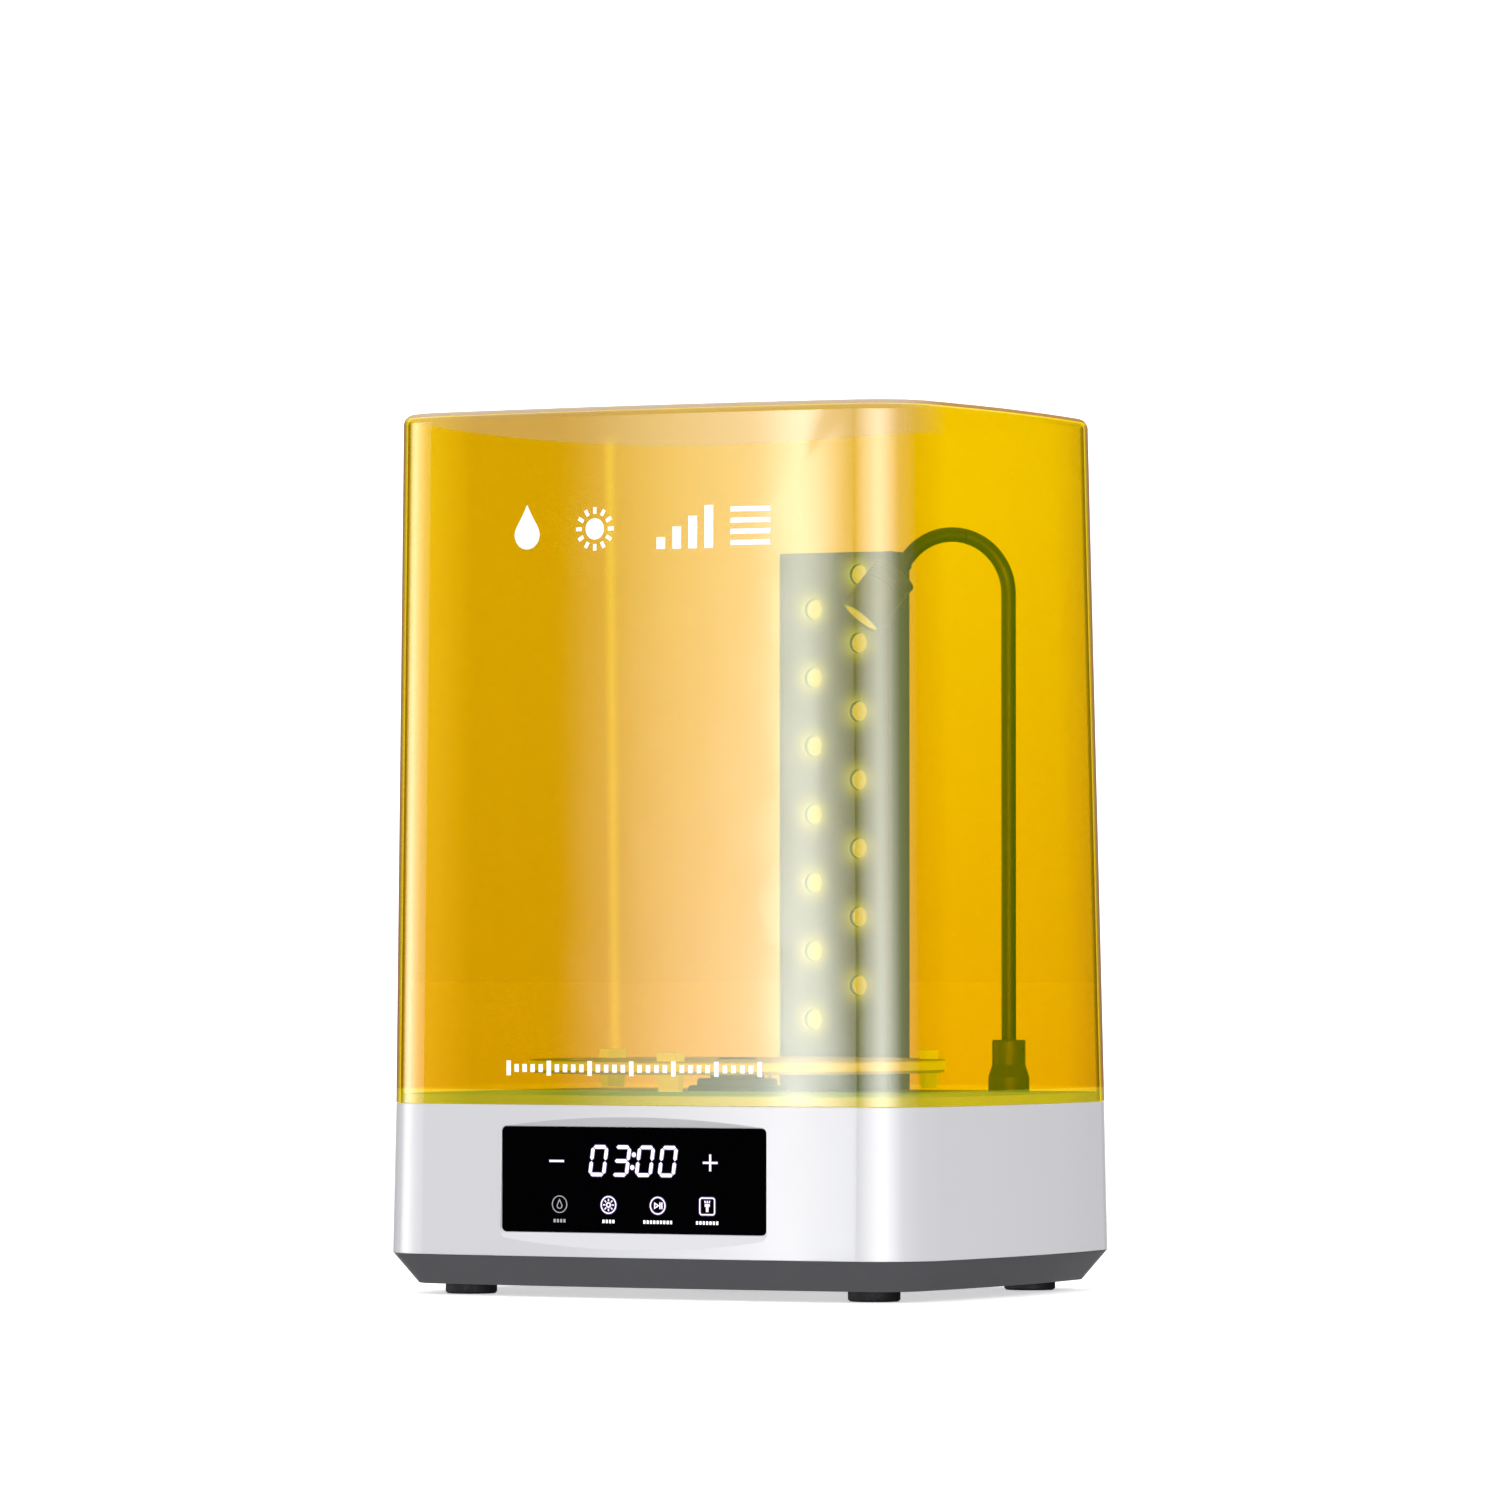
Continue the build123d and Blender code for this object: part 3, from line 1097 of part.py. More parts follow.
SENSOR_X = -60.0         # the magnet in the cover and the switch under the rim meet here
with BuildPart() as cover_magnet:
    with BuildSketch(Plane.XY.offset(DECK_TOP + 2)):
        with Locations((SENSOR_X, 124.2)):
            Rectangle(10, 4)
    extrude(amount=10)
    add(cover_shell.part, mode=Mode.SUBTRACT)
finish(cover_magnet, "cover_magnet")

with BuildPart() as cover_sensor_board:
    with BuildSketch(Plane.XY.offset(SEAM - SHELF)):
        with Locations((SENSOR_X, 120.5)):
            Rectangle(14, 7)
    extrude(amount=-BOARD_THICKNESS)
finish(cover_sensor_board, "cover_sensor_board")

# ---------------------------------------------------------------- cables inside the base
CABLE_RADIUS = 1.8
PLUG_X = BOARD_MIDDLE[0] + 26
PLUG_TOP = BOARD_TOP + 9
BAR_CABLE_END = 130.0


def cable(points, bend, name):
    """A round cable along straight runs joined by tangent arcs."""
    with BuildPart() as lead:
        with BuildLine() as route:
            FilletPolyline(*points, radius=bend)
        with BuildSketch(Plane(origin=route.line @ 0, z_dir=route.line % 0)):
            Circle(CABLE_RADIUS)
        sweep(path=route.line)
    length = sum(edge.length for edge in route.edges())
    ratio = lead.part.volume / (length * math.pi * CABLE_RADIUS ** 2)
    print(f"{name}: {length:.1f} mm long, volume {ratio:.4f} of section times length")
    finish(lead, name)


cable(
    [
        (PLUG_X, 32, PLUG_TOP),
        (PLUG_X, 32, 43),
        (PLUG_X, TABLE_CENTRE[1], 43),
        (TABLE_CENTRE[0] - MOTOR_RADIUS, TABLE_CENTRE[1], 43),
    ],
    8, "motor_cable",
)
cable(
    [
        (PLUG_X, 14, PLUG_TOP),
        (PLUG_X, 14, 34),
        (PLUG_X, -104, 46),
        (PLUG_X, FRAME_BACK + BOARD_THICKNESS, 46),
    ],
    6, "panel_cable",
)
cable(
    [
        (PLUG_X, 50, PLUG_TOP),
        (PLUG_X, 50, 50),
        (TENON_MIDDLE[0], TENON_MIDDLE[1], 66),
        (TENON_MIDDLE[0], TENON_MIDDLE[1], BAR_CABLE_END),
        (TENON_MIDDLE[0], LED_BOARD_FRONT + BOARD_THICKNESS, BAR_CABLE_END),
    ],
    4, "light_bar_cable",
)
cable(
    [(PLUG_X, 62, PLUG_TOP), (PLUG_X, 62, 40), (JACK_PLACE[0], 88, 44), (JACK_PLACE[0], JACK_BACK, 44)],
    6, "inlet_lead",
)
cable(
    [
        (PLUG_X, 56, PLUG_TOP),
        (PLUG_X, 56, 36),
        (-46, 56, 36),
        (SWITCH_PLACE[0], 92, 44),
        (SWITCH_PLACE[0], INLET_PLATE - 14, 44),
    ],
    5, "switch_lead",
)

# ---------------------------------------------------------------- screws
HEAD_RADIUS = 2.8
HEAD_HEIGHT = 1.6


def screws(plane, places, reach, name):
    """Screws with their heads on a plane, on its far side, and their threads down into the work."""
    with BuildPart() as fasteners:
        with BuildSketch(plane):
            with Locations(*places):
                Circle(HEAD_RADIUS)
        extrude(amount=HEAD_HEIGHT)
        with BuildSketch(plane):
            with Locations(*places):
                Circle(SCREW_RADIUS)
        extrude(amount=-reach)
        with BuildSketch(plane.offset(HEAD_HEIGHT)):
            with Locations(*places):
                Rectangle(3.6, 0.7)
                Rectangle(0.7, 3.6)
        extrude(amount=-0.9, mode=Mode.SUBTRACT)
    finish(fasteners, name)


FROM_BELOW = Plane(origin=(0, 0, 0), x_dir=(1, 0, 0), z_dir=(0, 0, -1))
MOTOR_SCREW_PLACES = [
    (
        TABLE_CENTRE[0] + MOTOR_SCREW_ORBIT * math.cos(math.radians(45 + 90 * index)),
        TABLE_CENTRE[1] + MOTOR_SCREW_ORBIT * math.sin(math.radians(45 + 90 * index)),
    )
    for index in range(4)
]
screws(FROM_BELOW.offset(-PAN_SCREW_SEAT), [(x, -y) for x, y in BOSS_PLACES], 14, "pan_screws")
screws(FROM_BELOW.offset(-FOOT_HEIGHT), [(x, -y) for x, y in LEG_PLACES], 11, "leg_screws")
screws(Plane.XY.offset(BRACKET_TOP), MOTOR_SCREW_PLACES, 10, "motor_screws")
screws(Plane.XY.offset(BOARD_TOP), BOARD_HOLES, 7, "board_screws")
screws(
    Plane(origin=(0, BAR_FRONT + BAR_DEPTH, 0), x_dir=(-1, 0, 0), z_dir=(0, 1, 0)),
    BAR_SCREW_PLACES, 10, "bar_screws",
)
screws(
    Plane(origin=(0, FRAME_BACK + BOARD_THICKNESS, 0), x_dir=(-1, 0, 0), z_dir=(0, 1, 0)),
    PANEL_SCREW_PLACES, 4, "panel_screws",
)
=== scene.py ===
"""Resin wash and cure station: materials, small printed marks, gooseneck sleeve, studio and camera."""
import json
import math

import bmesh
import bpy
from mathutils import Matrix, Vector
from mathutils.bvhtree import BVHTree


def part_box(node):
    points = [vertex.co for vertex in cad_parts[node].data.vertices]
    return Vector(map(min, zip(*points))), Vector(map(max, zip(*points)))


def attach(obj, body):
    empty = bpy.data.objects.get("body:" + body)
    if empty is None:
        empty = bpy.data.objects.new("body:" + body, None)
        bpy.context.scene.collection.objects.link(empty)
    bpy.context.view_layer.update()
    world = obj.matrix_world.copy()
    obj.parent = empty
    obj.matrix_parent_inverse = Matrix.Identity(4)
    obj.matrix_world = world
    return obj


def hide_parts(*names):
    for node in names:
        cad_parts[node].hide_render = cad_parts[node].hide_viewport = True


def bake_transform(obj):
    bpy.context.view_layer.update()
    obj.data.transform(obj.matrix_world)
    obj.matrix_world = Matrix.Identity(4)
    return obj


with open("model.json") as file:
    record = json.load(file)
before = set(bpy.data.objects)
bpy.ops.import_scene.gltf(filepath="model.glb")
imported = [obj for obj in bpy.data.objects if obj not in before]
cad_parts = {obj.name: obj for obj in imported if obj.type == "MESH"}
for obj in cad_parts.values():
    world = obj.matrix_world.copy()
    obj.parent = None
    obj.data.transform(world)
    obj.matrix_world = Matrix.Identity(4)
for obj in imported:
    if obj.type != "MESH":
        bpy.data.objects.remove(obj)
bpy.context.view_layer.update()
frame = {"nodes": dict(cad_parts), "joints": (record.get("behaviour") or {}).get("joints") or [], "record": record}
NODES = frame["nodes"]
JOINTS = {joint["name"]: joint for joint in frame["joints"]}
SCENE = bpy.context.scene
MM = 0.001
NOISE_RANGE = (0.3, 0.7)     # where most of a noise texture's values lie
CLOUD_SCALE = 14.0           # of the slow tone changes on moulded plastic


# ---------------------------------------------------------------- shader helpers
def shade(colour, factor):
    """The same colour with every channel times a factor."""
    return tuple(channel * factor for channel in colour)


class Shader:
    """A material's node tree with short calls for the nodes that the finishes share."""

    def __init__(self, name):
        self.material = bpy.data.materials.new(name)
        self.material.use_nodes = True
        self.tree = self.material.node_tree
        self.tree.nodes.clear()
        self.output = self.tree.nodes.new("ShaderNodeOutputMaterial")
        self.place = self.add("ShaderNodeTexCoord").outputs["Object"]

    def add(self, kind, **settings):
        node = self.tree.nodes.new(kind)
        for name, value in settings.items():
            setattr(node, name, value)
        return node

    def link(self, source, target):
        self.tree.links.new(source, target)

    def feed(self, node, name, value):
        """Link a socket, or set it where the value is a plain one."""
        socket = node.inputs[name]
        if isinstance(value, bpy.types.NodeSocket):
            self.link(value, socket)
        elif value is not None:
            socket.default_value = value

    def math(self, operation, first, second=None, third=None):
        node = self.add("ShaderNodeMath", operation=operation)
        for index, value in enumerate((first, second, third)):
            self.feed(node, index, value)
        return node.outputs[0]

    def split(self, vector):
        """The X, Y and Z of a vector."""
        node = self.add("ShaderNodeSeparateXYZ")
        self.link(vector, node.inputs[0])
        return node.outputs

    def noise(self, scale, detail=4.0, stretch=(1, 1, 1)):
        mapping = self.add("ShaderNodeMapping")
        mapping.inputs["Scale"].default_value = stretch
        self.link(self.place, mapping.inputs["Vector"])
        node = self.add("ShaderNodeTexNoise")
        node.inputs["Scale"].default_value = scale
        node.inputs["Detail"].default_value = detail
        self.link(mapping.outputs[0], node.inputs["Vector"])
        return node.outputs["Fac"]

    def span(self, value, low, high, start=0.0, end=1.0):
        """Map a value from start..end to low..high."""
        node = self.add("ShaderNodeMapRange")
        self.feed(node, "Value", value)
        node.inputs["From Min"].default_value = start
        node.inputs["From Max"].default_value = end
        node.inputs["To Min"].default_value = low
        node.inputs["To Max"].default_value = high
        return node.outputs[0]

    def varied(self, noise, value, share):
        """A value that a noise makes up to a share of itself smaller or larger."""
        return self.span(noise, value * (1 - share), value * (1 + share), *NOISE_RANGE)

    def blend_colours(self, factor, first, second):
        node = self.add("ShaderNodeMix", data_type="RGBA")
        self.feed(node, 0, factor)
        for index, colour in ((6, first), (7, second)):
            self.feed(node, index, (*colour, 1.0) if isinstance(colour, tuple) else colour)
        return node.outputs[2]

    def bump(self, height, distance, soft_edge=0.0):
        """Fine relief, on edges that are rounded where soft_edge gives a radius."""
        node = self.add("ShaderNodeBump")
        node.inputs["Distance"].default_value = distance
        node.inputs["Strength"].default_value = 1.0
        self.link(height, node.inputs["Height"])
        if soft_edge:
            edge = self.add("ShaderNodeBevel", samples=4)
            edge.inputs["Radius"].default_value = soft_edge
            self.link(edge.outputs[0], node.inputs["Normal"])
        return node.outputs[0]

    def principled(self, **values):
        """A Principled node; base_color and the like name its sockets."""
        node = self.add("ShaderNodeBsdfPrincipled")
        for name, value in values.items():
            name = name.replace("_", " ").title().replace("Ior", "IOR")
            if isinstance(value, tuple) and len(value) == 3 and "Color" in name:
                value = (*value, 1.0)
            self.feed(node, name, value)
        return node

    def mix_shaders(self, share, first, second):
        node = self.add("ShaderNodeMixShader")
        self.feed(node, 0, share)
        self.link(first.outputs[0], node.inputs[1])
        self.link(second.outputs[0], node.inputs[2])
        return node

    def finish(self, shader):
        self.link(shader.outputs[0], self.output.inputs["Surface"])
        return self.material


def painted_led_pool(shader):
    """How strongly the painted pool of light round the nearest LED of each column lies on a point of the bar's
    front.
    """
    across, along, upward = shader.split(shader.place)
    half_column = (LEDS_IN_COLUMN - 1) * LED_STEP
    shares = []
    for column_x, lowest in LED_COLUMNS:
        aside = shader.math("POWER", shader.math("SUBTRACT", across, column_x), 2.0)
        above = shader.math("PINGPONG", shader.math("SUBTRACT", upward, lowest), LED_STEP)
        distance = shader.math("SQRT", shader.math("ADD", aside, shader.math("POWER", above, 2.0)))
        share = shader.math("SUBTRACT", 1.0, shader.math("DIVIDE", distance, PAINTED_POOL_REACH))
        share = shader.math("POWER", shader.math("MAXIMUM", share, 0.0), 2.0)
        near_column = shader.math("COMPARE", upward, lowest + half_column, half_column + LED_STEP)
        shares.append(shader.math("MULTIPLY", share, near_column))
    in_front = shader.math("LESS_THAN", along, LED_BOX[1].y)
    return shader.math("MULTIPLY", shader.math("ADD", *shares), in_front)


def moulded(name, colour, roughness, grain_scale=900.0, grain=0.00004, shine=0.5, tone=0.06, with_painted_led_pools=False):
    """Moulded plastic or rubber: a little tone and gloss variation over a fine surface grain.

    Where asked for, a soft pool of light round each LED is painted on it as glow.
    """
    shader = Shader(name)
    cloud = shader.noise(CLOUD_SCALE, 3.0)
    fine = shader.noise(grain_scale, 3.0)
    body = shader.principled(
        base_color=shader.blend_colours(cloud, shade(colour, 1 - tone), colour),
        roughness=shader.varied(fine, roughness, 0.15),
        normal=shader.bump(fine, grain, soft_edge=0.0005),
        specular_ior_level=shine,
    )
    if with_painted_led_pools:
        shader.feed(body, "Emission Color", (*PAINTED_POOL_LIGHT, 1.0))
        shader.feed(body, "Emission Strength", shader.math("MULTIPLY", painted_led_pool(shader), PAINTED_POOL_STRENGTH))
    return shader.finish(body)


def metal(name, colour, roughness, stretch=(1, 1, 30), scale=220.0):
    """Metal with fine lines left by turning, rolling or brushing."""
    shader = Shader(name)
    lines = shader.noise(scale, 4.0, stretch)
    body = shader.principled(
        base_color=shader.blend_colours(lines, shade(colour, 0.82), colour),
        metallic=1.0,
        roughness=shader.varied(lines, roughness, 0.3),
        normal=shader.bump(lines, 0.00002, soft_edge=0.0003),
    )
    return shader.finish(body)


def circuit_board(name):
    """Green solder mask with raised tracks and tinned pads."""
    shader = Shader(name)
    tracks = shader.add("ShaderNodeTexBrick", offset=0.5, squash=1.0)
    tracks.inputs["Scale"].default_value = 160.0
    tracks.inputs["Mortar Size"].default_value = 0.03
    shader.link(shader.place, tracks.inputs["Vector"])
    mask = shader.blend_colours(shader.noise(60.0), (0.008, 0.07, 0.03), (0.015, 0.12, 0.05))
    body = shader.principled(
        base_color=shader.blend_colours(tracks.outputs["Fac"], mask, (0.03, 0.20, 0.09)),
        roughness=0.35,
        normal=shader.bump(tracks.outputs["Fac"], 0.00004),
        coat_weight=0.3,
    )
    return shader.finish(body)


def lit_symbols(
    name, glow=1.6, tint=(0.96, 0.90, 1.0), colour=(0.10, 0.10, 0.11), dim_below=None, sides=False
):
    """Plastic that lets light out, a little unevenly. On parts that are no lamp, the turntable, the white print
    and the halos, this light is painted glow.

    It can be dim left of and below a point, or let light out only through its upright faces.
    """
    shader = Shader(name)
    patch = shader.noise(300.0, 2.0)
    strength = shader.span(patch, glow * 0.92, glow, *NOISE_RANGE)
    if dim_below:
        across, _, upward = shader.split(shader.place)
        left = shader.math("LESS_THAN", across, dim_below[0])
        low = shader.math("LESS_THAN", upward, dim_below[1])
        unlit = shader.math("MULTIPLY", left, low)
        strength = shader.math("MULTIPLY", strength, shader.span(unlit, 1.0, UNLIT_SHARE))
    if sides:
        normal = shader.add("ShaderNodeNewGeometry").outputs["Normal"]
        level = shader.math("ABSOLUTE", shader.split(normal)[2])
        strength = shader.math("MULTIPLY", strength, shader.span(level, 1.0, 0.0))
    body = shader.principled(
        base_color=colour,
        roughness=0.4,
        emission_color=shader.blend_colours(patch, shade(tint, 0.9), tint),
        emission_strength=strength,
    )
    return shader.finish(body)


def painted_refraction_edge(shader, upward, level, outer_skin):
    """Where painted brown refraction lies: where an upright face is seen at a slant, and where the top's outer
    edge is rounded.
    """
    slant = shader.add("ShaderNodeLayerWeight")
    slant.inputs["Blend"].default_value = 0.5
    edge = shader.span(slant.outputs["Facing"], 0.0, 1.0, *EDGE_FACING)
    edge = shader.math("MULTIPLY", edge, shader.span(level, 1.0, 0.0, *UPRIGHT))
    crown = shader.math("MULTIPLY", shader.math("GREATER_THAN", upward, CROWN_FROM), outer_skin)
    crown = shader.math("MULTIPLY", crown, shader.span(level, 1.0, 0.0, *CROWN_LEVEL))
    return shader.math("MAXIMUM", edge, crown)


def painted_light_veil(shader, across, upward, front_wall):
    """The painted light under the front wall's top edge: a pale zone with a bowed lower border."""
    bow = shader.math("POWER", shader.math("SUBTRACT", across, VEIL_MIDDLE), 2.0)
    height = shader.math("SUBTRACT", upward, shader.math("MULTIPLY", bow, VEIL_BOW))
    return shader.math("MULTIPLY", shader.span(height, 0.0, 1.0, *VEIL_UPWARD), front_wall)


def painted_glow_lines(shader, across, along, upward):
    """How strongly the painted highlight line in the rear corner at -X and the painted glow of the cut lower edge
    shine.
    """
    corner = shader.math("ADD", across, along)
    corner = shader.math("ADD", corner, shader.math("MULTIPLY", upward, CORNER_LINE_LEAN))
    off_line = shader.math("ABSOLUTE", shader.math("SUBTRACT", corner, CORNER_LINE))
    line = shader.span(off_line, CORNER_PAINTED_HIGHLIGHT, 0.0, 0.0, CORNER_LINE_WIDTH)
    line = shader.math("MULTIPLY", line, shader.math("LESS_THAN", across, CORNER_BOUND[0]))
    line = shader.math("MULTIPLY", line, shader.math("GREATER_THAN", along, CORNER_BOUND[1]))
    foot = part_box("cover_shell")[0].z + FOOT_GLOW_HEIGHT
    return shader.math("MAXIMUM", line, shader.span(upward, FOOT_PAINTED_GLOW, 0.0, foot, foot + FOOT_GLOW_FADE))


def amber(name):
    """Amber sheet: it filters light, scatters a little and shines at a slant on its outer skin.

    Painted shade darkens the tint toward the foot and in an upright band of the front wall. Upright faces seen at
    a slant and the top's rounded edge carry painted brown refraction, painted light makes the front wall pale
    under its top edge, a painted highlight lines the rear corner at -X, and painted glow lines the cut lower edge.
    """
    shader = Shader(name)
    across, along, upward = shader.split(shader.place)
    geometry = shader.add("ShaderNodeNewGeometry")
    level = shader.math("ABSOLUTE", shader.split(geometry.outputs["Normal"])[2])
    outward = shader.add("ShaderNodeVectorMath", operation="DOT_PRODUCT")
    shader.link(geometry.outputs["Normal"], outward.inputs[0])
    shader.link(shader.place, outward.inputs[1])
    from_outside = shader.math("SUBTRACT", 1.0, geometry.outputs["Backfacing"])
    outer_skin = shader.math("GREATER_THAN", outward.outputs["Value"], 0.0)
    outer_skin = shader.math("MULTIPLY", outer_skin, from_outside)
    front_wall = shader.span(along, 1.0, 0.0, *FRONT_WALL)
    edge = painted_refraction_edge(shader, upward, level, outer_skin)
    painted_veil = painted_light_veil(shader, across, upward, front_wall)

    # the tint, with painted shade toward the foot and in an upright band of the front wall, and painted brown
    # refraction at the edges
    painted_shade_band = shader.math("MULTIPLY", front_wall, shader.span(across, 0.0, 1.0, *BAND_LEFT))
    painted_shade_band = shader.math("MULTIPLY", painted_shade_band, shader.span(across, 1.0, BAND_REST, *BAND_RIGHT))
    tint = shader.blend_colours(shader.span(upward, 1.0, 0.0, *FOOT_UPWARD), AMBER_CLEAR, PAINTED_FOOT_SHADE)
    tint = shader.blend_colours(painted_shade_band, tint, PAINTED_SHADE_BAND_TINT)
    clear = shader.add("ShaderNodeBsdfTransparent")
    shader.link(shader.blend_colours(edge, tint, PAINTED_REFRACTION_TINT), clear.inputs["Color"])

    # the scattered share, half of it sent back and half let through; the painted light under the front wall's top
    # edge makes it stronger and whiter, and the painted refraction at the edges makes it stronger and brown
    milk = shader.blend_colours(shader.noise(6.0, 2.0), AMBER_HAZE, AMBER_HAZE_LIGHT)
    milk = shader.blend_colours(edge, milk, PAINTED_REFRACTION_MILK)
    sent_back = shader.add("ShaderNodeBsdfDiffuse")
    shader.link(shader.blend_colours(painted_veil, milk, PAINTED_VEIL_LIGHT), sent_back.inputs["Color"])
    let_through = shader.add("ShaderNodeBsdfTranslucent")
    shader.link(milk, let_through.inputs["Color"])
    scattered = shader.math(
        "MAXIMUM", shader.span(painted_veil, AMBER_SCATTER, VEIL_SCATTER), shader.span(edge, 0.0, EDGE_SCATTER)
    )
    sheet = shader.mix_shaders(scattered, clear, shader.mix_shaders(0.5, sent_back, let_through))

    # the painted highlight line and the painted glow of the cut lower edge, added to the sheet
    lines = shader.add("ShaderNodeEmission")
    lines.inputs["Color"].default_value = (*PAINTED_LINE_LIGHT, 1.0)
    shader.link(painted_glow_lines(shader, across, along, upward), lines.inputs["Strength"])
    lined_sheet = shader.add("ShaderNodeAddShader")
    shader.link(sheet.outputs[0], lined_sheet.inputs[0])
    shader.link(lines.outputs[0], lined_sheet.inputs[1])

    # the shine, only on the outer skin and from outside, and weak where the edges carry the painted brown
    # refraction
    gloss = shader.add("ShaderNodeBsdfGlossy")
    gloss.inputs["Color"].default_value = (1, 1, 1, 1)
    gloss.inputs["Roughness"].default_value = AMBER_ROUGHNESS
    mirror = shader.add("ShaderNodeFresnel")
    mirror.inputs["IOR"].default_value = AMBER_IOR
    share = shader.math("MULTIPLY", mirror.outputs[0], outer_skin)
    share = shader.math("MULTIPLY", share, shader.span(edge, 1.0, EDGE_SHINE))
    return shader.finish(shader.mix_shaders(share, lined_sheet, gloss))


# ---------------------------------------------------------------- amber sheet
AMBER_IOR = 1.49
AMBER_ROUGHNESS = 0.07
AMBER_CLEAR = (0.98, 0.825, 0.0)
# painted shade: the darker tint toward the foot
PAINTED_FOOT_SHADE = (0.957, 0.752, 0.0)
# painted shade: the darker upright band of the front wall
PAINTED_SHADE_BAND_TINT = (0.82, 0.625, 0.0)
FOOT_UPWARD = (0.10, 0.40)             # Z over which the foot's painted shade gives way to the clear tint
BAND_LEFT = (-0.136, -0.095)           # X over which the front wall's band of painted shade starts
BAND_RIGHT = (-0.045, 0.020)           # X over which it weakens
BAND_REST = 0.62                       # how much of it is left from there on
FRONT_WALL = (-0.110, -0.080)          # Y over which the band and the veil fade out
AMBER_HAZE = (0.50, 0.88, 0.0)
AMBER_HAZE_LIGHT = (0.54, 0.93, 0.0)
AMBER_SCATTER = 0.13

# painted highlight: a light line in the rear corner at -X; painted glow: along the cut lower edge
CORNER_BOUND = (-0.118, 0.085)         # the rear corner at -X lies beyond this X and Y
CORNER_LINE = -0.0270                  # X + Y of the middle of its light line, at the level of the floor
CORNER_LINE_LEAN = 0.027               # how much X + Y falls per metre of height
CORNER_LINE_WIDTH = 0.0058             # change in X + Y from the line's middle to where it ends
CORNER_PAINTED_HIGHLIGHT = 0.26
FOOT_PAINTED_GLOW = 0.11                       # the cut lower edge's, over the height below
FOOT_GLOW_HEIGHT = 0.0070
FOOT_GLOW_FADE = 0.0006                # height over which it ends
PAINTED_LINE_LIGHT = (0.6, 0.92, 0.15)

# painted light: the pale zone under the front wall's top edge
VEIL_MIDDLE = 0.050                    # X where the veil reaches lowest
VEIL_BOW = 0.5                         # rise of its border per squared distance from there
VEIL_UPWARD = (0.4278, 0.4288)         # Z over which the veil starts there
PAINTED_VEIL_LIGHT = (0.85, 0.85, 0.85)
VEIL_SCATTER = 0.23

# painted refraction: upright faces seen at a slant and the top's rounded edge turn brown
UPRIGHT = (0.2, 0.6)                   # upward part of the normal over which a face stops being upright
CROWN_FROM = 0.4478                    # Z above which the top's rounded edge carries the painted brown refraction
CROWN_LEVEL = (0.93, 0.98)             # upward part of the normal where the edge gives way to the flat top
EDGE_FACING = (0.62, 0.82)             # slant over which the painted brown refraction starts
PAINTED_REFRACTION_TINT = (0.58, 0.40, 0.34)
PAINTED_REFRACTION_MILK = (0.52, 0.28, 0.23)
EDGE_SCATTER = 0.75
EDGE_SHINE = 0.15

# ---------------------------------------------------------------- lit parts
UNLIT_KEY = (-0.030, 0.055)   # the key that is off lies left of this X and below this Z
UNLIT_SHARE = 0.22            # how much light it still shows
LED_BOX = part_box("led_modules")
LED_RADIUS = 0.0052
LED_STEP = 0.01795            # height from an LED to the next one, in the other column
LEDS_IN_COLUMN = 7
LED_COLUMNS = [
    (LED_BOX[0].x + LED_RADIUS, LED_BOX[0].z + LED_RADIUS),
    (LED_BOX[1].x - LED_RADIUS, LED_BOX[0].z + LED_RADIUS + LED_STEP),
]
# painted light: a soft pool of glow round each LED, painted on the bar's front
PAINTED_POOL_REACH = 0.015             # how far from an LED its pool of light ends
PAINTED_POOL_STRENGTH = 1.5
PAINTED_POOL_LIGHT = (0.72, 1.0, 0.55)

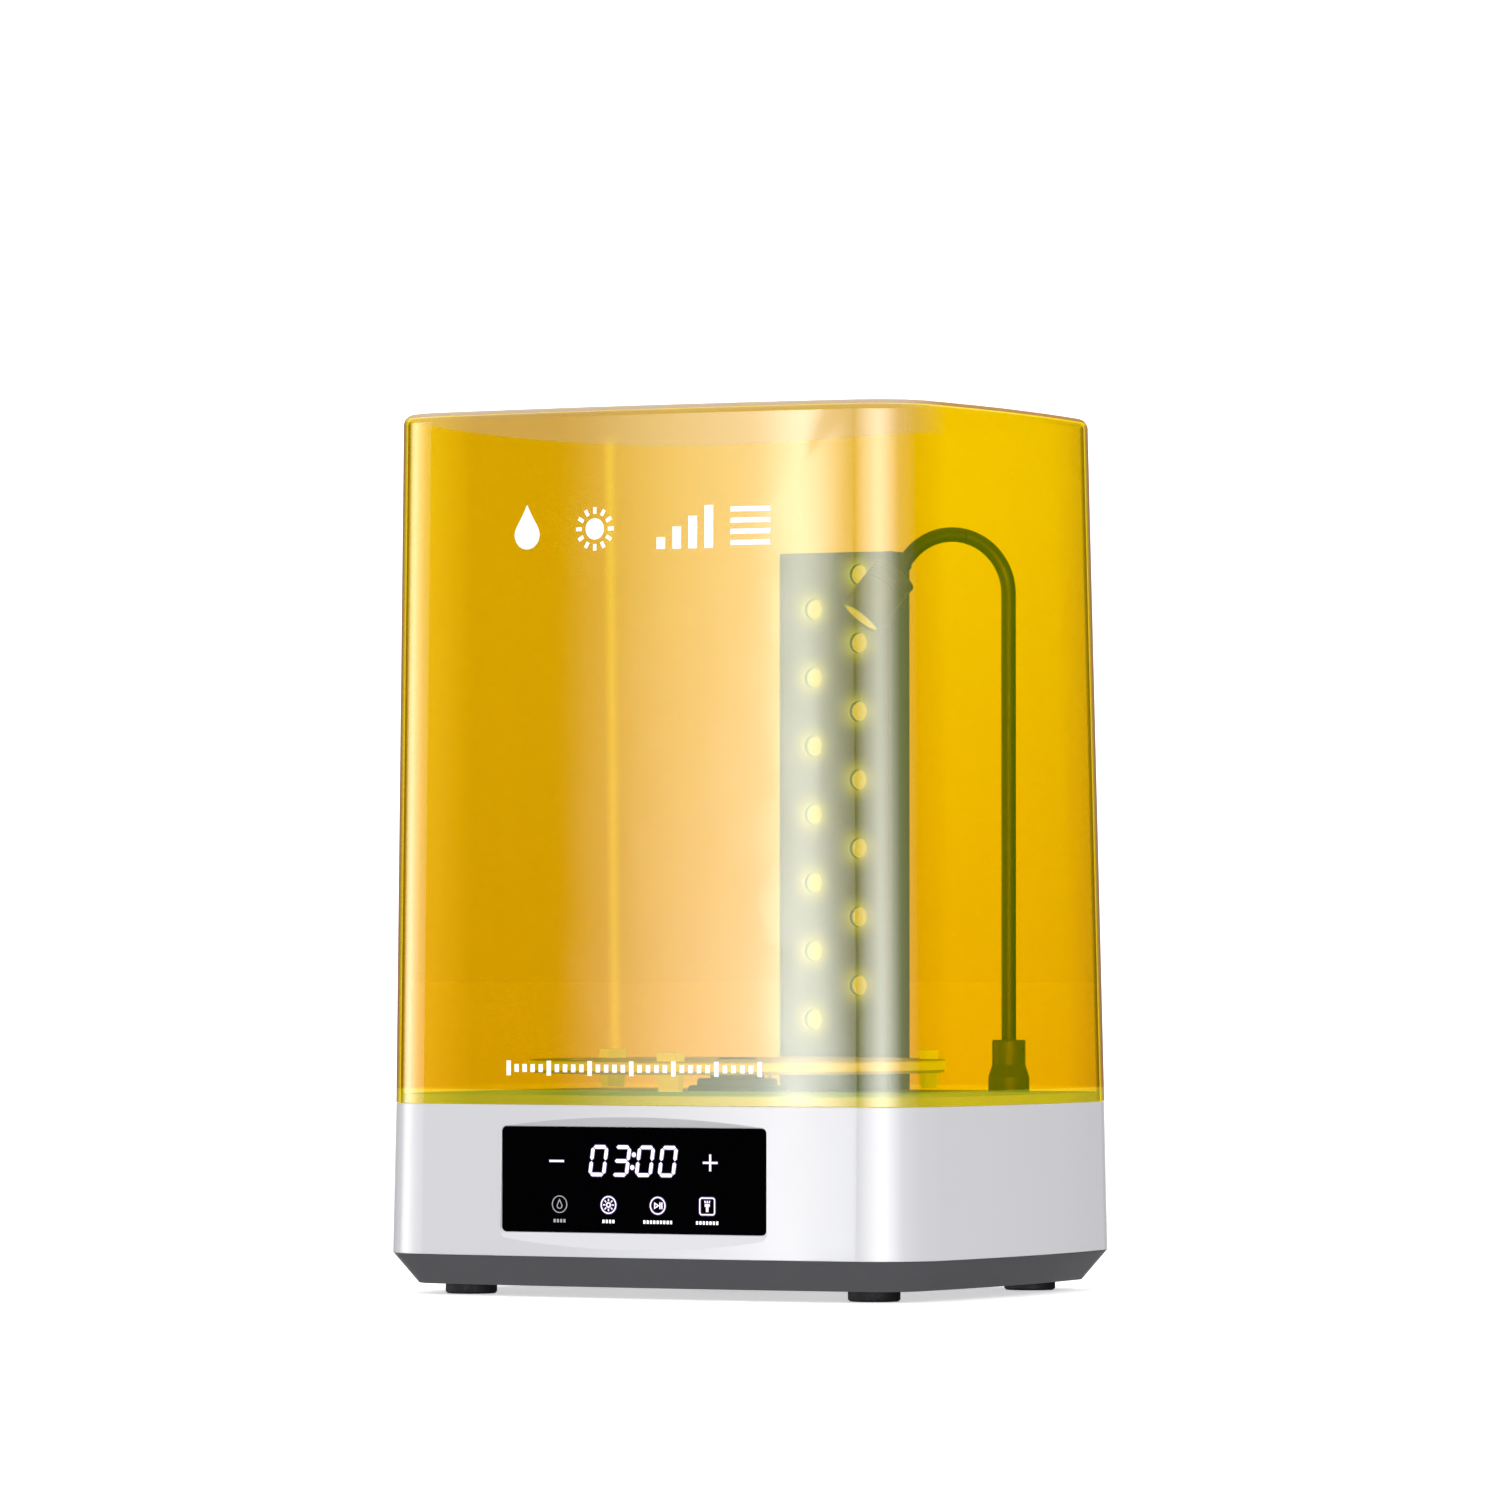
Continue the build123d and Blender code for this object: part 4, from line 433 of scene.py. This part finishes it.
# ---------------------------------------------------------------- finishes
FINISHES = {
    "white_plastic": moulded(
        "white_plastic", (0.90, 0.90, 0.935), 0.16, 700.0, 0.000005, shine=0.35, tone=0.02
    ),
    "grey_plastic": moulded("grey_plastic", (0.17, 0.17, 0.185), 0.42, 1400.0, 0.00003, shine=0.3, tone=0.08),
    "black_rubber": moulded("black_rubber", (0.006, 0.006, 0.007), 0.7, 900.0, 0.00006, shine=0.2),
    "deck_plastic": moulded("deck_plastic", (0.58, 0.68, 0.58), 0.35, 1100.0, 0.00004),
    "panel_glass": moulded("panel_glass", (0.001, 0.001, 0.0015), 0.10, 500.0, 0.000001, shine=0.0),
    "lit_symbols": lit_symbols("lit_symbols", dim_below=UNLIT_KEY),
    "circuit_board": circuit_board("circuit_board"),
    "black_plastic": moulded("black_plastic", (0.02, 0.02, 0.022), 0.4, 1100.0, 0.00004),
    "switch_black": moulded("switch_black", (0.018, 0.018, 0.02), 0.25, 900.0, 0.00002),
    "steel": metal("steel", (0.60, 0.60, 0.61), 0.3),
    "zinc": metal("zinc", (0.68, 0.68, 0.70), 0.38),
    "brass": metal("brass", (0.78, 0.60, 0.28), 0.28),
    "bronze": metal("bronze", (0.62, 0.42, 0.20), 0.45),
    "magnet": metal("magnet", (0.74, 0.74, 0.76), 0.18, (1, 1, 1), 90.0),
    # the turntable is no lamp: the glow on its upright faces is painted light
    "white_table": lit_symbols("white_table", 0.85, (0.95, 1.0, 0.80), (0.64, 0.64, 0.62), sides=True),
    # the LED bar's front, with painted pools of light round its LEDs
    "bar_grey": moulded("bar_grey", (0.030, 0.034, 0.034), 0.38, 1300.0, 0.00001, with_painted_led_pools=True),
    "led_lens": lit_symbols("led_lens", 1.1, (0.85, 0.92, 0.60)),
    "gooseneck_black": moulded("gooseneck_black", (0.012, 0.012, 0.013), 0.35, 1000.0, 0.00003),
    "lamp_black": moulded("lamp_black", (0.12, 0.125, 0.11), 0.32, 1200.0, 0.00003),
    "amber": amber("amber"),
    "cable_black": moulded("cable_black", (0.015, 0.015, 0.015), 0.5, 900.0, 0.00003),
    # the white print is no lamp: the glow that keeps it white is painted light
    "print_white": lit_symbols("print_white", 0.4, (1.0, 1.0, 1.0), (0.92, 0.92, 0.92)),
    # the halo round the lit symbols is a painted glow
    "symbol_halo": lit_symbols("symbol_halo", 0.30, (0.42, 0.20, 0.85), (0.02, 0.02, 0.03)),
}
SLOT_OF = {row["node"]: row["material_slot"] for row in frame["record"]["subparts"]}
for node_name, node in NODES.items():
    node.data.materials.clear()
    node.data.materials.append(FINISHES[SLOT_OF[node_name]])


# ---------------------------------------------------------------- mesh helpers
def new_piece(name, mesh, finish, body):
    """Link a mesh as a piece, riding on a CAD body where one is given."""
    piece = bpy.data.objects.new(name, mesh)
    SCENE.collection.objects.link(piece)
    mesh.materials.append(finish)
    if body:
        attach(piece, body)
    return piece


def tube_mesh(name, centres, radius, sides=32):
    """A round tube along centre points, closed at both ends."""
    shape = bmesh.new()
    rings = []
    side = None
    for index, centre in enumerate(centres):
        ahead = centres[min(index + 1, len(centres) - 1)] - centres[max(index - 1, 0)]
        ahead.normalize()
        if side is None:
            side = ahead.orthogonal().normalized()
        side = (side - ahead * side.dot(ahead)).normalized()
        across = ahead.cross(side)
        ring = []
        for step in range(sides):
            turn = 2 * math.pi * step / sides
            offset = side * math.cos(turn) + across * math.sin(turn)
            ring.append(shape.verts.new(centre + offset * radius))
        rings.append(ring)
    for near, far in zip(rings, rings[1:]):
        for step in range(sides):
            following = (step + 1) % sides
            shape.faces.new((near[step], near[following], far[following], far[step]))
    shape.faces.new(list(reversed(rings[0])))
    shape.faces.new(rings[-1])
    for face in shape.faces:
        face.smooth = len(face.verts) == 4
    mesh = bpy.data.meshes.new(name)
    shape.to_mesh(mesh)
    shape.free()
    return mesh


# ---------------------------------------------------------------- gooseneck sleeve
NECK_RADIUS = 3.8 * MM
ARCH_RADIUS = 30.4 * MM
ARCH_TURN = math.radians(140.8)
MID_TURN = ARCH_TURN * 0.55      # how far round the arch the lower tube ends and the upper one starts
ARCH_STEPS = 24                  # in each tube
STEM_STEP = 2.0 * MM
SLEEVE_REACH = 12.6 * MM         # how far the upper tube runs on beyond the head's hinge
SLEEVE_STEPS = 8

bend_point = Vector(JOINTS["neck_bend"]["pos_m"])
tilt_point = Vector(JOINTS["head_tilt"]["pos_m"])
heading = tilt_point - bend_point
heading.z = 0
heading.normalize()
up = Vector((0, 0, 1))
arch_centre = bend_point + heading * ARCH_RADIUS
lamp_axis = (heading * math.sin(ARCH_TURN) + up * math.cos(ARCH_TURN)).normalized()


def arch_point(turn):
    """A point on the arch, by how far it has turned from upright."""
    return arch_centre - heading * ARCH_RADIUS * math.cos(turn) + up * ARCH_RADIUS * math.sin(turn)


stem_low = Vector((bend_point.x, bend_point.y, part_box("neck_stem")[0].z))
stem_length = bend_point.z - stem_low.z
stem_count = int(stem_length / STEM_STEP)
lower_line = [stem_low + up * stem_length * index / stem_count for index in range(stem_count)]
lower_line += [arch_point(MID_TURN * index / ARCH_STEPS) for index in range(ARCH_STEPS + 1)]
upper_line = [
    arch_point(MID_TURN + (ARCH_TURN - MID_TURN) * index / ARCH_STEPS) for index in range(ARCH_STEPS + 1)
]
upper_line += [
    tilt_point + lamp_axis * SLEEVE_REACH * index / SLEEVE_STEPS for index in range(1, SLEEVE_STEPS + 1)
]
lower_tube = new_piece(
    "neck_lower", tube_mesh("neck_lower", lower_line, NECK_RADIUS),
    FINISHES["gooseneck_black"], None,
)
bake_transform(lower_tube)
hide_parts("neck_stem")
upper_tube = new_piece(
    "neck_upper", tube_mesh("neck_upper", upper_line, NECK_RADIUS),
    FINISHES["gooseneck_black"], None,
)
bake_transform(upper_tube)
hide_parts("neck_arch")


# ---------------------------------------------------------------- printing onto a surface
PRINT_PROUD = 0.12 * MM
PRINT_EDGE = 4 * MM              # longer edges are split, so that a print follows a curved surface
PRINT_ROUNDS = 3                 # of splitting, at most
AHEAD = -1.0                     # Y from which a point is carried straight back onto the surface


def skin_of(node_name):
    """A CAD node's surface, to carry prints onto."""
    mesh = NODES[node_name].data
    return BVHTree.FromPolygons(
        [vertex.co.copy() for vertex in mesh.vertices], [tuple(face.vertices) for face in mesh.polygons]
    )


def print_on_front(name, outlines, skin, finish, body):
    """Lay filled flat shapes, given in X and Z in millimetres, onto the front of a skin."""
    shape = bmesh.new()
    for outline in outlines:
        verts = [shape.verts.new((x * MM, 0, z * MM)) for x, z in outline]
        shape.faces.new(verts)
    bmesh.ops.triangulate(shape, faces=shape.faces[:])
    for _ in range(PRINT_ROUNDS):
        long_edges = [edge for edge in shape.edges if edge.calc_length() > PRINT_EDGE]
        if long_edges:
            bmesh.ops.subdivide_edges(shape, edges=long_edges, cuts=1)
            bmesh.ops.triangulate(shape, faces=shape.faces[:])
    for vertex in shape.verts:
        hit = skin.ray_cast(Vector((vertex.co.x, AHEAD, vertex.co.z)), Vector((0, 1, 0)))[0]
        vertex.co.y = hit.y - PRINT_PROUD
    bmesh.ops.recalc_face_normals(shape, faces=shape.faces[:])
    mesh = bpy.data.meshes.new(name)
    shape.to_mesh(mesh)
    shape.free()
    return new_piece(name, mesh, finish, body)


def disc(x, z, radius, count=40):
    return [
        (x + radius * math.cos(2 * math.pi * i / count), z + radius * math.sin(2 * math.pi * i / count))
        for i in range(count)
    ]


def block(x, z, width, height):
    return [
        (x - width / 2, z - height / 2), (x + width / 2, z - height / 2),
        (x + width / 2, z + height / 2), (x - width / 2, z + height / 2),
    ]


def drop(x, z, radius, count=40):
    """A water drop: a circle that narrows and rises to a point at the top."""
    outline = []
    for i in range(count):
        turn = 2 * math.pi * i / count
        pull = max(0.0, math.sin(turn)) ** 3
        half_width = radius * math.cos(turn) * (1 - 0.75 * pull)
        outline.append((x + half_width, z + radius * (math.sin(turn) + pull)))
    return outline


def rays(x, z, inner, outer, width, count):
    """Short bars that point away from a centre."""
    outlines = []
    for i in range(count):
        turn = 2 * math.pi * i / count
        along = (math.cos(turn), math.sin(turn))
        across = (-along[1] * width / 2, along[0] * width / 2)
        outlines.append([
            (x + along[0] * inner - across[0], z + along[1] * inner - across[1]),
            (x + along[0] * outer - across[0], z + along[1] * outer - across[1]),
            (x + along[0] * outer + across[0], z + along[1] * outer + across[1]),
            (x + along[0] * inner + across[0], z + along[1] * inner + across[1]),
        ])
    return outlines


def rising_bars(x, z, count=4, pitch=9.0, width=5.0, first=6.0, growth=5.2):
    """Upright bars on one foot line, each taller than the last."""
    heights = [first + growth * i for i in range(count)]
    return [block(x + pitch * i, z + height / 2, width, height) for i, height in enumerate(heights)]


def stacked_lines(x, z, count=4, pitch=5.6, width=22.0, height=2.6):
    return [block(x, z + pitch * i, width, height) for i in range(count)]


def tick_scale(x, z, count=31, pitch=4.8, width=2.6, short=4.0, long=7.5, long_every=5):
    return [block(x + pitch * i, z, width, short if i % long_every else long) for i in range(count)]


# ---------------------------------------------------------------- printed marks on the cover
MARK_ROW = 388.0
DROP_X = -62.0
SUN_X = -22.0
BARS_X = 16.0
LAYERS_X = 66.0
SCALE_X = -72.0
SCALE_ROW = 116.0
cover_skin = skin_of("cover_shell")
marks = [drop(DROP_X, MARK_ROW - 2.0, radius=7.5), disc(SUN_X, MARK_ROW, radius=5.4)]
marks += rays(SUN_X, MARK_ROW, inner=7.6, outer=11.0, width=2.0, count=12)
marks += rising_bars(BARS_X, MARK_ROW - 11.0)
marks += stacked_lines(LAYERS_X, MARK_ROW - 8.5)
print_on_front("cover_marks", marks, cover_skin, FINISHES["print_white"], "cover")
ticks = tick_scale(SCALE_X, SCALE_ROW)
print_on_front("cover_scale", ticks, cover_skin, FINISHES["print_white"], "cover")

# ---------------------------------------------------------------- rows of dashes under the keys
LABEL_DASHES = (4, 4, 9, 7)
LABEL_ROW = 39.1
DASH_PITCH = 1.9
DASH_WIDTH = 1.2
DASH_HEIGHT = 1.7
KEY_PITCH = 28.2
labels = []
for key, dashes in enumerate(LABEL_DASHES):
    key_x = (key - (len(LABEL_DASHES) - 1) / 2) * KEY_PITCH
    for dash in range(dashes):
        dash_x = key_x + (dash - (dashes - 1) / 2) * DASH_PITCH
        labels.append(block(dash_x, LABEL_ROW, DASH_WIDTH, DASH_HEIGHT))
glass_skin = skin_of("touch_panel_glass")
print_on_front("key_labels", labels, glass_skin, FINISHES["lit_symbols"], "base")


# ---------------------------------------------------------------- painted glow round the lit symbols
HALO_REACH = 0.40 * MM
HALO_PROUD = 0.03 * MM
SAME_POINT = 0.001 * MM
FACES_FRONT = -0.9               # Y of the normal, below which a face looks to the front


def halo(name, node_name, dark_below=None):
    """A slightly larger copy of a node's symbols, flat on the glass behind them, which shows a painted glow."""
    glass_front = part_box("touch_panel_glass")[0].y
    shape = bmesh.new()
    shape.from_mesh(NODES[node_name].data)
    bmesh.ops.remove_doubles(shape, verts=shape.verts[:], dist=SAME_POINT)
    other_faces = [face for face in shape.faces if face.normal.y > FACES_FRONT]
    bmesh.ops.delete(shape, geom=other_faces, context="FACES")
    shifts = {}
    for vertex in shape.verts:
        outward = Vector((0, 0, 0))
        for edge in vertex.link_edges:
            if len(edge.link_faces) == 1:
                face = edge.link_faces[0]
                along = (edge.verts[1].co - edge.verts[0].co).normalized()
                side = along.cross(face.normal)
                middle = (edge.verts[0].co + edge.verts[1].co) / 2
                if side.dot(middle - face.calc_center_median()) < 0:
                    side.negate()
                outward += side
        shifts[vertex] = outward.normalized() * HALO_REACH if outward.length > 0 else outward
    for vertex, shift in shifts.items():
        vertex.co += shift
        vertex.co.y = glass_front - HALO_PROUD
    if dark_below:
        unlit = [
            vertex for vertex in shape.verts
            if vertex.co.x < dark_below[0] and vertex.co.z < dark_below[1]
        ]
        bmesh.ops.delete(shape, geom=unlit, context="VERTS")
    mesh = bpy.data.meshes.new(name)
    shape.to_mesh(mesh)
    shape.free()
    return new_piece(name, mesh, FINISHES["symbol_halo"], "base")


halo("digit_halo", "digit_display")
halo("key_halo", "key_symbols", dark_below=UNLIT_KEY)


# ---------------------------------------------------------------- studio: lamp and floor
LAMP_PLACE = (-1.2, -2.2, 2.0)
LAMP_SIZE = 1.4
LAMP_POWER = 5.0
LAMP_TARGET = (0, 0, 0.2)
lamp_data = bpy.data.lights.new("key", "AREA")
lamp_data.size = LAMP_SIZE
lamp_data.energy = LAMP_POWER
lamp = bpy.data.objects.new("key", lamp_data)
SCENE.collection.objects.link(lamp)
lamp.location = LAMP_PLACE
lamp.rotation_euler = (Vector(LAMP_TARGET) - lamp.location).to_track_quat("-Z", "Y").to_euler()
lamp.visible_camera = False
lamp.visible_glossy = False

FLOOR_REACH = 40.0
FLOOR_LIGHT = 0.53       # with the room's light on it, as bright to the eye as the room
floor_mesh = bpy.data.meshes.new("floor")
floor_mesh.from_pydata(
    [(x * FLOOR_REACH, y * FLOOR_REACH, 0) for x, y in ((-1, -1), (1, -1), (1, 1), (-1, 1))],
    [], [(0, 1, 2, 3)],
)
floor = bpy.data.objects.new("floor", floor_mesh)
SCENE.collection.objects.link(floor)
floor_shader = Shader("floor")
floor_body = floor_shader.principled(
    base_color=(0.9, 0.9, 0.9),
    roughness=0.9,
    specular_ior_level=0.0,
    emission_color=(1.0, 1.0, 1.0),
    emission_strength=FLOOR_LIGHT,
)
floor.visible_glossy = False
floor.visible_diffuse = False
floor.visible_shadow = False
floor_mesh.materials.append(floor_shader.finish(floor_body))

# ---------------------------------------------------------------- studio: room
# To the eye the room is overexposed white, for lighting it is grey, and for reflections it is dark with
# tall softboxes and a soft light overhead. Each softbox is (first light, full, still full, gone), in
# degrees round from the front toward +X, with its brightness.
ROOM_SEEN = 1.52
ROOM_FLOOR_LIGHT = 0.46
ROOM_TOP_LIGHT = 1.4
ROOM_LIGHT_FROM = (-15.0, 60.0)        # heights in degrees where the lighting leaves one for the other
SOFTBOXES = [
    ((-33.0, -18.4, -18.0, -16.4), 11.5),       # left of the front, brighter toward a sharp right edge
    ((-21.0, -19.0, -17.6, -16.4), 9.5),        # a bright strip along that edge
    ((-12.0, -2.0, 40.0, 95.0), 4.5),           # broad and weak, from the front to the right
    ((-8.0, 24.0, 32.0, 62.0), 12.0),           # its bright middle
    ((-98.0, -80.0, -76.0, -40.0), 8.5),        # from the left
    ((-178.0, -165.0, -140.0, -128.0), 1.2),    # from the rear left
]
SOFTBOX_DIM = (-1.0, 3.5, 1.0, 0.66)   # between the first two, heights, they dim from 1.0 to 0.66
SOFTBOX_TOP = (6.5, 9.0)               # heights where the softboxes start to fade and where they end
SOFTBOX_FOOT = (-26.0, -14.0)          # heights where they start and where they are full
OVERHEAD_FROM = (18.0, 48.0)           # heights where the light overhead starts and where it is full
OVERHEAD = 1.2

world = bpy.data.worlds.new("studio")
SCENE.world = world
world.use_nodes = True
room = world.node_tree
room.nodes.clear()


def room_math(operation, *values):
    node = room.nodes.new("ShaderNodeMath")
    node.operation = operation
    for index, value in enumerate(values):
        if isinstance(value, bpy.types.NodeSocket):
            room.links.new(value, node.inputs[index])
        else:
            node.inputs[index].default_value = value
    return node.outputs[0]


def room_ramp(value, start, end, low=0.0, high=1.0):
    """A ramp from low to high as a value goes from start to end."""
    node = room.nodes.new("ShaderNodeMapRange")
    room.links.new(value, node.inputs["Value"])
    for name, number in (("From Min", start), ("From Max", end), ("To Min", low), ("To Max", high)):
        node.inputs[name].default_value = number
    return node.outputs[0]


def softbox(azimuth, edges, brightness):
    rise = room_ramp(azimuth, edges[0], edges[1], 0.0, brightness)
    fall = room_ramp(azimuth, edges[2], edges[3], 1.0, 0.0)
    return room_math("MULTIPLY", rise, fall)


direction = room.nodes.new("ShaderNodeTexCoord").outputs["Generated"]
parts = room.nodes.new("ShaderNodeSeparateXYZ")
room.links.new(direction, parts.inputs[0])
DEGREES = 180 / math.pi
azimuth = room_math("ARCTAN2", parts.outputs["X"], room_math("MULTIPLY", parts.outputs["Y"], -1.0))
azimuth = room_math("MULTIPLY", azimuth, DEGREES)
height = room_math("MULTIPLY", room_math("ARCSINE", parts.outputs["Z"]), DEGREES)
fade = room_math("MULTIPLY", room_ramp(height, *SOFTBOX_TOP, 1.0, 0.0), room_ramp(height, *SOFTBOX_DIM))
fade = room_math("MULTIPLY", fade, room_ramp(height, *SOFTBOX_FOOT))
reflected = room_ramp(height, *OVERHEAD_FROM, 0.0, OVERHEAD)
for edges, brightness in SOFTBOXES:
    reflected = room_math("ADD", reflected, room_math("MULTIPLY", softbox(azimuth, edges, brightness), fade))
path = room.nodes.new("ShaderNodeLightPath")
lit_or_seen = room.nodes.new("ShaderNodeMix")
room.links.new(path.outputs["Is Camera Ray"], lit_or_seen.inputs[0])
lighting = room_ramp(height, *ROOM_LIGHT_FROM, ROOM_FLOOR_LIGHT, ROOM_TOP_LIGHT)
room.links.new(lighting, lit_or_seen.inputs[2])
lit_or_seen.inputs[3].default_value = ROOM_SEEN
any_ray = room.nodes.new("ShaderNodeMix")
room.links.new(path.outputs["Is Glossy Ray"], any_ray.inputs[0])
room.links.new(lit_or_seen.outputs[0], any_ray.inputs[2])
room.links.new(reflected, any_ray.inputs[3])
background = room.nodes.new("ShaderNodeBackground")
background.inputs["Color"].default_value = (1.0, 1.0, 1.0, 1.0)
room.links.new(any_ray.outputs[0], background.inputs["Strength"])
room_output = room.nodes.new("ShaderNodeOutputWorld")
room.links.new(background.outputs[0], room_output.inputs["Surface"])

SCENE.view_settings.view_transform = "Standard"

# ---------------------------------------------------------------- camera
CAMERA_AZIMUTH = math.radians(28.0)
CAMERA_DISTANCE = 4.594
CAMERA_HEIGHT = 0.1753
CAMERA_PITCH = math.radians(1.29)
CAMERA_LENS = 213.9
CAMERA_SHIFT = -1.0 / 750.0            # sideways, as a share of the picture's width
camera_data = bpy.data.cameras.new("camera")
camera_data.lens = CAMERA_LENS
camera_data.sensor_width = 36.0
camera_data.clip_end = 200.0
camera_data.shift_x = CAMERA_SHIFT
camera = bpy.data.objects.new("camera", camera_data)
SCENE.collection.objects.link(camera)
camera.location = (
    CAMERA_DISTANCE * math.sin(CAMERA_AZIMUTH), -CAMERA_DISTANCE * math.cos(CAMERA_AZIMUTH), CAMERA_HEIGHT
)
camera.rotation_euler = (math.pi / 2 + CAMERA_PITCH, 0, CAMERA_AZIMUTH)
SCENE.camera = camera

bpy.context.view_layer.update()
